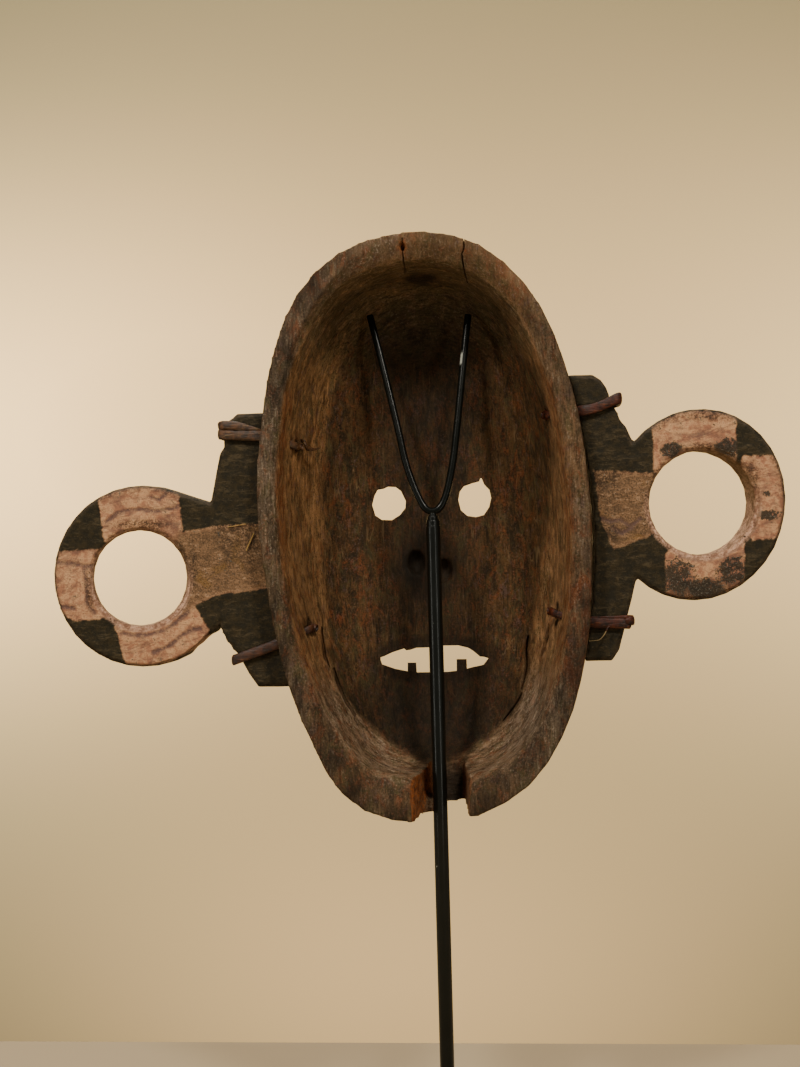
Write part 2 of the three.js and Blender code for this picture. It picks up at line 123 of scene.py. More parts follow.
def soft_noise(points: np.ndarray, size: tuple[float, float, float], seed: int, octaves: int = 3) -> np.ndarray:
    """Smooth noise over points in millimetres.

    Args:
        points: Points, shape (n, 3).
        size: Size of one swell along x, y and z.
        seed: Which noise to use.
        octaves: How many finer layers are added.

    Returns:
        Numbers from about -1 to 1.
    """
    total = np.zeros(len(points))
    weight, spent = 1.0, 0.0
    scaled = points / np.array(size)
    for octave in range(octaves):
        base = np.floor(scaled)
        part = scaled - base
        part = part * part * (3 - 2 * part)
        value = np.zeros(len(points))
        for corner in np.ndindex(2, 2, 2):
            share = np.prod(np.where(np.array(corner) == 1, part, 1 - part), axis=1)
            value += share * lattice(base + corner, seed + octave)
        total += weight * (2 * value - 1)
        spent += weight
        weight *= 0.5
        scaled = scaled * 2.03 + 7.7
    return total / spent


def scoops(points: np.ndarray, size: tuple[float, float, float], seed: int) -> np.ndarray:
    """Overlapping tool marks: 0 on the ridges between them and 1 in their middles.

    Args:
        points: Points in millimetres, shape (n, 3).
        size: Size of one mark along x, y and z.
        seed: Which pattern to use.

    Returns:
        Numbers from 0 to 1.
    """
    scaled = points / np.array(size)
    base = np.floor(scaled)
    nearest = np.full(len(points), 9.0)
    for step in np.ndindex(3, 3, 3):
        cell = base + np.array(step) - 1
        spot = cell + np.stack([lattice(cell, seed + k) for k in range(3)], axis=-1)
        nearest = np.minimum(nearest, ((spot - scaled) ** 2).sum(1))
    return 1 - np.clip(nearest, 0, 1)


def pick_nothing() -> None:
    """Leave no object selected."""
    for other in bpy.context.selected_objects:
        other.select_set(False)


def pick_only(obj: bpy.types.Object) -> None:
    """Make obj the one selected and active object."""
    pick_nothing()
    obj.select_set(True)
    bpy.context.view_layer.objects.active = obj


def join(obj: bpy.types.Object, others: list[bpy.types.Object]) -> None:
    """Join other objects into obj.

    Args:
        obj: The object that stays.
        others: The objects that go into it.
    """
    pick_only(obj)
    for other in others:
        other.select_set(True)
    bpy.ops.object.join()


def smooth_shading(obj: bpy.types.Object) -> None:
    """Shade every face smoothly."""
    for polygon in obj.data.polygons:
        polygon.use_smooth = True


def apply_modifier(obj: bpy.types.Object, kind: str, **settings: object) -> None:
    """Add a modifier to obj and apply it.

    Args:
        obj: The mesh object.
        kind: Blender's name for the modifier type.
        **settings: Values of the modifier's properties.
    """
    pick_only(obj)
    modifier = obj.modifiers.new(kind.title(), kind)
    for key, value in settings.items():
        setattr(modifier, key, value)
    bpy.ops.object.modifier_apply(modifier=modifier.name)


def loft(name: str, rings: list) -> bpy.types.Object:
    """Make a linked, closed form from rings with equally many corners.

    Args:
        name: The object's name.
        rings: Each ring's corners, in millimetres in the mask's frame.

    Returns:
        The object, with its faces turned outwards.
    """
    count = len(rings[0])
    vertices = [tuple((np.asarray(corner, float) + MASK_PLACE) * MM) for ring in rings for corner in ring]
    faces = []
    for base in range(0, len(vertices) - count, count):
        for k in range(count):
            after = (k + 1) % count
            faces.append((base + k, base + after, base + count + after, base + count + k))
    faces.append(tuple(range(count)))
    faces.append(tuple(range(len(vertices) - count, len(vertices))))
    mesh = bpy.data.meshes.new(name)
    mesh.from_pydata(vertices, [], faces)
    obj = bpy.data.objects.new(name, mesh)
    bpy.context.scene.collection.objects.link(obj)
    merge_doubles(obj, True)
    return obj


def merge_doubles(obj: bpy.types.Object, outwards: bool = False) -> None:
    """Merge doubled vertices.

    Args:
        obj: The mesh object.
        outwards: Whether every face is turned outwards too.
    """
    form = bmesh.new()
    form.from_mesh(obj.data)
    bmesh.ops.remove_doubles(form, verts=form.verts, dist=MERGE_REACH)
    if outwards:
        bmesh.ops.recalc_face_normals(form, faces=form.faces)
    form.to_mesh(obj.data)
    form.free()


def copy_of(node: str, name: str) -> bpy.types.Object:
    """Copy a CAD node's mesh into a new object with its doubles merged.

    Args:
        node: The CAD node's name.
        name: The new object's name.

    Returns:
        The new object.
    """
    obj = bpy.data.objects.new(name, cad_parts[node].data.copy())
    bpy.context.scene.collection.objects.link(obj)
    obj.data.materials.clear()
    merge_doubles(obj)
    return obj


def cut(obj: bpy.types.Object, cutters: list[bpy.types.Object]) -> None:
    """Cut the cutters out of obj one after another and remove them.

    Args:
        obj: The piece.
        cutters: Closed forms.
    """
    for cutter in cutters:
        apply_modifier(obj, "BOOLEAN", object=cutter, operation="DIFFERENCE", solver="EXACT")
        bpy.data.objects.remove(cutter)


def points_of(obj: bpy.types.Object) -> tuple[np.ndarray, np.ndarray]:
    """Read a piece's vertices and normals.

    Args:
        obj: The mesh object.

    Returns:
        Points in millimetres from the middle of the mask's rim, and unit normals.
    """
    count = len(obj.data.vertices)
    points = np.empty(count * 3)
    obj.data.vertices.foreach_get("co", points)
    normals = np.empty(count * 3, np.float32)
    obj.data.vertex_normals.foreach_get("vector", normals)
    return points.reshape(-1, 3) / MM - MASK_PLACE, normals.reshape(-1, 3).astype(float)


def met_by_ray(obj: bpy.types.Object, start: tuple, way: tuple, otherwise: tuple) -> np.ndarray:
    """Find where a ray first meets a piece.

    Args:
        obj: The piece.
        start: Where the ray starts, in the mask's frame.
        way: Its direction.
        otherwise: The point to return where it meets nothing.

    Returns:
        The point in the mask's frame.
    """
    origin = Vector((np.array(start, float) + MASK_PLACE) * MM)
    hit, place, _, _ = obj.ray_cast(origin, Vector(way / np.linalg.norm(way)))
    return np.array(place) / MM - MASK_PLACE if hit else np.array(otherwise, float)


def move_points(obj: bpy.types.Object, points: np.ndarray) -> None:
    """Write a piece's vertices back from millimetres in the mask's frame."""
    obj.data.vertices.foreach_set("co", ((points + MASK_PLACE) * MM).ravel())
    obj.data.update()


def store(obj: bpy.types.Object, name: str, values: np.ndarray) -> None:
    """Keep one number a vertex under a name that materials read."""
    layer = obj.data.attributes.get(name) or obj.data.attributes.new(name, "FLOAT", "POINT")
    layer.data.foreach_set("value", np.asarray(values, np.float32))


def edge_wear(normals: np.ndarray) -> np.ndarray:
    """Find the worn arrises of a board: where the surface turns from face to edge."""
    facing = np.abs(normals[:, 1])
    return ease(1 - np.maximum(facing, np.sqrt(np.clip(1 - facing**2, 0, 1))), 0.04, 0.25)


def rim_reach(points: np.ndarray) -> np.ndarray:
    """Measure how far out points lie: 0 on the mask's axis and 1 on its outline."""
    return np.hypot(points[:, 0] / RIM_HALF[0], points[:, 2] / RIM_HALF[1])


def segment_distance(flat: np.ndarray, start: tuple, end: tuple) -> np.ndarray:
    """Measure how far flat points lie from a straight piece of line.

    Args:
        flat: Points, shape (n, 2).
        start: One end.
        end: The other end.

    Returns:
        Distance to the piece.
    """
    along = np.subtract(end, start)
    share = np.clip(((flat - start) @ along) / (along @ along), 0, 1)
    return np.linalg.norm(flat - start - share[:, None] * along, axis=1)


def field_depth(points: np.ndarray, corners: list[tuple[float, float]]) -> np.ndarray:
    """Measure how far points lie inside a painted field.

    Args:
        points: Points in millimetres, of which x and z count.
        corners: The field's corners, in order.

    Returns:
        Distance to the field's border, negative outside.
    """
    flat = points[:, [0, 2]]
    nearest = np.full(len(flat), 1e9)
    within = np.zeros(len(flat), bool)
    for (x0, z0), (x1, z1) in zip(corners, corners[1:] + corners[:1]):
        nearest = np.minimum(nearest, segment_distance(flat, (x0, z0), (x1, z1)))
        crosses = (z0 > flat[:, 1]) != (z1 > flat[:, 1])
        if z1 != z0:
            within ^= crosses & (flat[:, 0] < (x1 - x0) * (flat[:, 1] - z0) / (z1 - z0) + x0)
    return np.where(within, nearest, -nearest)


def line_distance(points: np.ndarray, line: tuple) -> np.ndarray:
    """Measure how far points lie from a line drawn on a board.

    Args:
        points: Points in millimetres, of which x and z count.
        line: The line's (x, z) points.

    Returns:
        Distance to the line.
    """
    flat = points[:, [0, 2]]
    return np.min([segment_distance(flat, *ends) for ends in zip(line[:-1], line[1:])], axis=0)


def smooth_line(points: list[tuple[float, float, float]], count: int) -> np.ndarray:
    """Run an even, smooth line through points by a centripetal spline.

    Args:
        points: Points in millimetres.
        count: How many points to return.

    Returns:
        The line's points, shape (count, 3).
    """
    raw = np.array(points, float)
    padded = np.vstack([2 * raw[0] - raw[1], raw, 2 * raw[-1] - raw[-2]])
    fine = []
    for i in range(1, len(padded) - 2):
        p = padded[i - 1 : i + 3]
        knots = np.concatenate([[0], np.cumsum(np.linalg.norm(np.diff(p, axis=0), axis=1) ** 0.5)])
        for t in np.linspace(knots[1], knots[2], SPAN_STEPS, endpoint=False):
            fine.append(spline_point(p, knots, t))
    fine.append(raw[-1])
    line = np.array(fine)
    length = np.concatenate([[0], np.cumsum(np.linalg.norm(np.diff(line, axis=0), axis=1))])
    wanted = np.linspace(0, length[-1], count)
    return np.stack([np.interp(wanted, length, line[:, k]) for k in range(3)], axis=1)


def spline_point(p: np.ndarray, knots: np.ndarray, t: float) -> np.ndarray:
    """Find one point of a Catmull-Rom span.

    Args:
        p: The span's four points.
        knots: Their four parameters.
        t: A parameter between the second and third.

    Returns:
        The point.
    """
    level = list(p)
    for depth in (1, 2, 3):
        joined = []
        for i in range(4 - depth):
            low, high = (knots[1], knots[2]) if depth == 3 else (knots[i], knots[i + depth])
            share = (t - low) / (high - low)
            joined.append(level[i] * (1 - share) + level[i + 1] * share)
        level = joined
    return level[0]


def band(
    name: str, line: np.ndarray, wide: np.ndarray, thick: np.ndarray, flat_way: tuple, sides: int
) -> bpy.types.Object:
    """Sweep a rounded flat section along a line and close both ends.

    Args:
        name: The object's name.
        line: Points in millimetres in the mask's frame.
        wide: Width of the section at each point.
        thick: Thickness at each point.
        flat_way: Direction of the width.
        sides: Corners of the section.

    Returns:
        The swept object.
    """
    along = np.gradient(line, axis=0)
    along /= np.linalg.norm(along, axis=1)[:, None]
    flat = np.tile(np.array(flat_way, float), (len(line), 1))
    across = flat - (flat * along).sum(1)[:, None] * along
    across /= np.linalg.norm(across, axis=1)[:, None]
    up = np.cross(along, across)
    rings = []
    for i, centre in enumerate(line):
        ring = []
        for k in range(sides):
            angle = 2 * math.pi * (k + 0.5) / sides
            x = abs(math.cos(angle)) ** 0.8 * math.copysign(wide[i] / 2, math.cos(angle))
            y = abs(math.sin(angle)) ** 0.8 * math.copysign(thick[i] / 2, math.sin(angle))
            ring.append(centre + across[i] * x + up[i] * y)
        rings.append(ring)
    return loft(name, rings)


def strand(
    name: str, points: tuple, count: int, widths: tuple, flatness: float, flat_way: tuple, sides: int
) -> bpy.types.Object:
    """Sweep a strand smoothly through points.

    Args:
        name: The object's name.
        points: Points in millimetres in the mask's frame.
        count: Rings along the strand.
        widths: Pairs of a ring's number and the width there.
        flatness: Thickness as a share of the width.
        flat_way: Direction of the width.
        sides: Corners of the section.

    Returns:
        The swept object.
    """
    size = np.interp(np.arange(count), *zip(*widths))
    return band(name, smooth_line(list(points), count), size, size * flatness, flat_way, sides)


# Materials

# The hollow's middle in metres, how much it is taller than wide, and its reach where the grain's size is true
HOLLOW_HEIGHT = 0.447
HOLLOW_ASIDE = 0.004
HOLLOW_STRETCH = 1.5
HOLLOW_GIRTH = 0.17


class Board:
    """The node board of one material, with short names for its textures and sums."""

    def __init__(self, name: str, shine: float) -> None:
        """Start a material.

        Args:
            name: The material's name.
            shine: Specular level of its surface.
        """
        self.material = bpy.data.materials.new(name)
        self.material.use_nodes = True
        self.tree = self.material.node_tree
        self.tree.nodes.clear()
        output = self.add("ShaderNodeOutputMaterial")
        self.shader = self.add("ShaderNodeBsdfPrincipled")
        self.shader.inputs["Specular IOR Level"].default_value = shine
        self.tree.links.new(self.shader.outputs["BSDF"], output.inputs["Surface"])
        self.place = self.add("ShaderNodeTexCoord").outputs["Object"]

    def add(self, kind: str) -> bpy.types.Node:
        """Add a node of a kind."""
        return self.tree.nodes.new(kind)

    def feed(self, socket: bpy.types.NodeSocket, value: object) -> None:
        """Link or set a socket.

        Args:
            socket: The input.
            value: Another node's output, a number or a colour.
        """
        if isinstance(value, bpy.types.NodeSocket):
            self.tree.links.new(value, socket)
        else:
            socket.default_value = value

    def spread(self, scale: tuple, turn: tuple = (0, 0, 0)) -> bpy.types.NodeSocket:
        """Object coordinates, stretched and turned.

        Args:
            scale: Scale along x, y and z.
            turn: Turn about each axis in degrees.

        Returns:
            The vector output.
        """
        node = self.add("ShaderNodeMapping")
        self.feed(node.inputs["Vector"], self.place)
        node.inputs["Scale"].default_value = scale
        node.inputs["Rotation"].default_value = [math.radians(a) for a in turn]
        return node.outputs["Vector"]

    def rings(self, stretch: float) -> bpy.types.NodeSocket:
        """Coordinates that run round the hollow's middle, drawn out along their way round.

        Args:
            stretch: Share of the length that is left along the way round.

        Returns:
            The vector output.
        """
        split = self.split()
        upward = self.minus(split.outputs["Z"], HOLLOW_HEIGHT)
        across = self.times(self.minus(split.outputs["X"], HOLLOW_ASIDE), HOLLOW_STRETCH)
        reach = self.calc("SQRT", self.plus(self.calc("POWER", across, 2), self.calc("POWER", upward, 2)), 0)
        joined = self.add("ShaderNodeCombineXYZ")
        self.feed(joined.inputs["X"], reach)
        self.feed(joined.inputs["Y"], split.outputs["Y"])
        self.feed(joined.inputs["Z"], self.times(self.calc("ARCTAN2", upward, across), HOLLOW_GIRTH * stretch))
        return joined.outputs["Vector"]

    def split(self) -> bpy.types.Node:
        """The object coordinates, one by one.

        Returns:
            A node with the outputs X, Y and Z.
        """
        node = self.add("ShaderNodeSeparateXYZ")
        self.feed(node.inputs[0], self.place)
        return node

    def between(self, share: object, a: object, b: object) -> bpy.types.NodeSocket:
        """A number between two others.

        Args:
            share: Share of the second.
            a: First number.
            b: Second number.

        Returns:
            The mixed number.
        """
        node = self.add("ShaderNodeMix")
        self.feed(node.inputs[0], share)
        self.feed(node.inputs[2], a)
        self.feed(node.inputs[3], b)
        return node.outputs[0]

    def noise(
        self, vector: bpy.types.NodeSocket, scale: float, detail: float, rough: float, warp: float = 0
    ) -> bpy.types.NodeSocket:
        """Noise from 0 to 1.

        Args:
            vector: Coordinates.
            scale: Swells a metre.
            detail: Finer layers.
            rough: Strength of the finer layers.
            warp: Distortion.

        Returns:
            The factor output.
        """
        node = self.add("ShaderNodeTexNoise")
        self.feed(node.inputs["Vector"], vector)
        for key, value in {"Scale": scale, "Detail": detail, "Roughness": rough, "Distortion": warp}.items():
            node.inputs[key].default_value = value
        return node.outputs["Fac"]

    def layer(self, name: str) -> bpy.types.NodeSocket:
        """A number kept on the mesh."""
        node = self.add("ShaderNodeAttribute")
        node.attribute_name = name
        return node.outputs["Fac"]

    def calc(self, operation: str, a: object, b: object) -> bpy.types.NodeSocket:
        """One sum.

        Args:
            operation: Blender's name for it.
            a: First value.
            b: Second value.

        Returns:
            The result.
        """
        node = self.add("ShaderNodeMath")
        node.operation = operation
        self.feed(node.inputs[0], a)
        self.feed(node.inputs[1], b)
        return node.outputs[0]

    def plus(self, a: object, b: object) -> bpy.types.NodeSocket:
        """Two numbers added."""
        return self.calc("ADD", a, b)

    def minus(self, a: object, b: object) -> bpy.types.NodeSocket:
        """The second number taken from the first."""
        return self.calc("SUBTRACT", a, b)

    def times(self, a: object, b: object) -> bpy.types.NodeSocket:
        """Two numbers multiplied."""
        return self.calc("MULTIPLY", a, b)

    def scaled(self, value: object, slope: float, start: float) -> bpy.types.NodeSocket:
        """A number multiplied by a slope and added to a start."""
        return self.plus(self.times(value, slope), start)

    def centred(self, noise: object, size: float) -> bpy.types.NodeSocket:
        """A noise moved to swing about 0 and multiplied by a size."""
        return self.times(self.minus(noise, 0.5), size)

    def mixed(self, a: object, a_part: float, b: object, b_part: float) -> bpy.types.NodeSocket:
        """Two numbers added by their parts."""
        return self.plus(self.times(a, a_part), self.times(b, b_part))

    def creases(self, noise: object, width: float, top: float = 1.0) -> bpy.types.NodeSocket:
        """Thin lines where a noise passes its middle."""
        return self.rise(self.calc("ABSOLUTE", self.minus(noise, 0.5), 0), width, 0.0, top)

    def rise(self, value: object, low: float, high: float, top: float = 1.0) -> bpy.types.NodeSocket:
        """Rise smoothly from 0 to top as value goes from low to high.

        Args:
            value: The number.
            low: Start of the rise.
            high: End of the rise.
            top: The last value.

        Returns:
            The result.
        """
        node = self.add("ShaderNodeMapRange")
        node.interpolation_type = "SMOOTHSTEP"
        self.feed(node.inputs["Value"], value)
        if low > high:
            low, high = high, low
            node.inputs["To Min"].default_value, node.inputs["To Max"].default_value = top, 0.0
        else:
            node.inputs["To Max"].default_value = top
        node.inputs["From Min"].default_value = low
        node.inputs["From Max"].default_value = high
        return node.outputs["Result"]

    def blend(self, factor: object, a: object, b: object) -> bpy.types.NodeSocket:
        """Mix two colours.

        Args:
            factor: Share of the second.
            a: First colour.
            b: Second colour.

        Returns:
            The mixed colour.
        """
        node = self.add("ShaderNodeMix")
        node.data_type = "RGBA"
        self.feed(node.inputs[0], factor)
        self.feed(node.inputs[6], a)
        self.feed(node.inputs[7], b)
        return node.outputs[2]

    def tones(self, share: object, low: str, high: str) -> bpy.types.NodeSocket:
        """A colour between two display colours."""
        return self.blend(share, tint(low), tint(high))

    def coats(self, colour: object, *coats: tuple[object, str]) -> bpy.types.NodeSocket:
        """Lay colours over a first one.

        Args:
            colour: The first colour.
            *coats: Share and display colour of each coat, in order.

        Returns:
            The mixed colour.
        """
        for share, code in coats:
            colour = self.blend(share, colour, tint(code))
        return colour

    def relief(self, height: object, depth_mm: float, under: object = None) -> bpy.types.NodeSocket:
        """Bump from a height.

        Args:
            height: Number from 0 to 1.
            depth_mm: Its full height in millimetres.
            under: Normal of a coarser relief.

        Returns:
            The normal output.
        """
        node = self.add("ShaderNodeBump")
        node.inputs["Strength"].default_value = 1.0
        node.inputs["Distance"].default_value = depth_mm * MM
        self.feed(node.inputs["Height"], height)
        if under is not None:
            self.feed(node.inputs["Normal"], under)
        return node.outputs["Normal"]

    def finish(self, colour: object, roughness: object, normal: object) -> bpy.types.Material:
        """Join the results to the shader.

        Args:
            colour: Base colour.
            roughness: Roughness.
            normal: Normal of the relief.

        Returns:
            The material.
        """
        self.feed(self.shader.inputs["Base Color"], colour)
        self.feed(self.shader.inputs["Roughness"], roughness)
        self.feed(self.shader.inputs["Normal"], normal)
        return self.material


@dataclass(frozen=True)
class MaskWood:
    """Old hand-hewn hardwood: dark and speckled inside, greyed at the rim, painted outside."""

    dark: str = "281e11"
    brown: str = "523a20"
    # Wall tones, paler than the floor's: partly the wood's own tone and partly painted light.
    pale: str = "a87b4e"
    deep: str = "624425"
    russet: str = "70391b"
    olive: str = "4d452a"
    plum: str = "54403b"
    # grey and shade: the rim's worn grey, also laid on the crown, brow and chin as painted light.
    grey: str = "7f7263"
    shade: str = "43372a"
    fleck: str = "a3957f"
    fresh: str = "8a4b20"
    splinter: str = "54290f"
    # Colour of the hollow's darkening: painted shade in its recesses and pockets, and darker patches elsewhere.
    shade_and_darkening: str = "110d07"
    scratch: str = "866c4c"
    pitch: str = "150e08"
    black: str = "1d1711"
    scorch: str = "35271a"
    ochre: str = "a9805e"

    def material(self) -> bpy.types.Material:
        """Build the material.

        Returns:
            The material.
        """
        board = Board("old_carved_wood", 0.12)
        turned = board.layer("round")
        upright = board.noise(board.spread((1, 1, 0.14)), 720, 4, 0.65, 0.3)
        fibre = board.between(turned, upright, board.noise(board.rings(0.12), 640, 4, 0.65, 0.3))
        straight = board.noise(board.spread((1, 1, 0.35)), 210, 7, 0.72, 0.5)
        streak = board.between(turned, straight, board.noise(board.rings(0.3), 200, 7, 0.72, 0.5))
        patch = board.noise(board.spread((1, 1, 0.6)), 38, 8, 0.7, 0.6)
        speck = board.noise(board.place, 640, 5, 0.75)
        sharp = board.between(board.layer("even"), 1.0, 0.4)
        colour = board.coats(
            self.hues(board, self.ground(board, streak, patch), speck),
            (board.times(board.rise(fibre, 0.5, 0.34, 0.65), sharp), self.dark),
            (board.times(board.rise(speck, 0.47, 0.32, 0.8), sharp), self.pitch),
        )
        colour = self.scratches(board, self.flecks(board, colour, speck, fibre))
        # Lays the hollow's darkening, which is partly painted shade in its recesses and pockets.
        colour = board.coats(colour, (board.layer("shade_and_darkening"), self.shade_and_darkening))
        colour = board.blend(board.layer("outside"), colour, self.face(board, patch, streak, speck))
        torn = board.tones(board.rise(streak, 0.4, 0.58), self.splinter, self.fresh)
        raw = board.times(board.layer("fresh"), board.rise(fibre, 0.3, 0.6, 0.95))
        fine = board.relief(fibre, 0.55, board.relief(streak, 1.6))
        return board.finish(
            board.blend(raw, colour, torn), board.scaled(speck, 0.3, 0.5), board.relief(speck, 0.35, fine)
        )

    def ground(self, board: Board, streak: object, patch: object) -> object:
        """The wood's brown: dark on the hollow's floor, paler on its walls, greyest on the rim; the walls' paleness is
        partly painted light.

        Args:
            board: The material's nodes.
            streak: Noise along the grain.
            patch: Broad noise.

        Returns:
            The colour.
        """
        tone = board.mixed(streak, 0.72, patch, 0.28)
        level = board.between(board.layer("even"), board.rise(tone, 0.4, 0.6), board.rise(tone, 0.22, 0.78))
        floor = board.tones(level, self.dark, self.brown)
        wall = board.tones(level, self.deep, self.pale)
        ashen = board.tones(level, self.shade, self.grey)
        return board.blend(board.layer("grey"), board.blend(board.layer("light"), floor, wall), ashen)

    def hues(self, board: Board, colour: object, speck: object) -> object:
        """Stains in the brown: russet, olive and plum.

        Args:
            board: The material's nodes.
            colour: The brown.
            speck: Fine noise.

        Returns:
            The colour.
        """
        grain = board.centred(speck, 0.5)
        warm = board.layer("warm")
        red = board.noise(board.spread((1, 1, 0.55), (0, 0, 60)), 130, 6, 0.74, 0.9)
        warmth = board.plus(board.plus(red, grain), board.times(warm, 0.13))
        green = board.noise(board.spread((1, 1, 0.6), (0, 0, 130)), 120, 6, 0.7, 0.7)
        moss = board.minus(board.minus(green, grain), board.times(warm, 0.15))
        cool = board.noise(board.spread((1, 1, 0.7), (0, 0, 200)), 150, 5, 0.75, 0.6)
        return board.coats(
            colour,
            (board.rise(warmth, 0.49, 0.67, 0.56), self.russet),
            (board.rise(moss, 0.5, 0.67, 0.62), self.olive),
            (board.rise(board.plus(cool, grain), 0.54, 0.7, 0.6), self.plum),
        )

    def flecks(self, board: Board, colour: object, speck: object, fibre: object) -> object:
        """Pale flecks and dashes of dust, most where the wood is greyed.

        Args:
            board: The material's nodes.
            colour: The wood's colour.
            speck: Fine noise.
            fibre: Noise along the fibres.

        Returns:
            The colour.
        """
        grey = board.layer("grey")
        dusty = board.times(board.scaled(grey, 0.5, 0.08), board.rise(speck, 0.52, 0.68))
        dash = board.rise(board.mixed(fibre, 0.6, speck, 0.4), 0.54, 0.61, 0.7)
        return board.coats(colour, (dusty, self.fleck), (board.times(board.plus(grey, 0.04), dash), self.fleck))

    def scratches(self, board: Board, colour: object) -> object:
        """Thin pale scratches that cross the grain in two ways.

        Args:
            board: The material's nodes.
            colour: The wood's colour.

        Returns:
            The colour.
        """
        patchy = board.noise(board.place, 55, 3, 0.6)
        for turn, spell in ((24, 90), (-33, 130)):
            ripple = board.noise(board.spread((1, 1, 0.09), (0, turn, 0)), spell, 2, 0.4, 0.1)
            thin = board.times(board.creases(ripple, 0.009), board.rise(patchy, 0.42, 0.62, 0.35))
            colour = board.coats(colour, (thin, self.scratch))
        return colour

    def face(self, board: Board, patch: object, streak: object, speck: object) -> object:
        """The painted face: black with worn fields of ochre.

        Args:
            board: The material's nodes.
            patch: Broad noise.
            streak: Noise along the grain.
            speck: Fine noise.

        Returns:
            The colour.
        """
        black = board.tones(board.rise(patch, 0.4, 0.65), self.black, self.scorch)
        edge = board.plus(board.layer("paint"), board.centred(streak, 0.5))
        worn = board.rise(board.plus(streak, board.times(speck, 0.3)), 0.5, 0.66, 0.92)
        return board.coats(black, (board.times(board.rise(edge, -0.02, 0.06), worn), self.ochre))


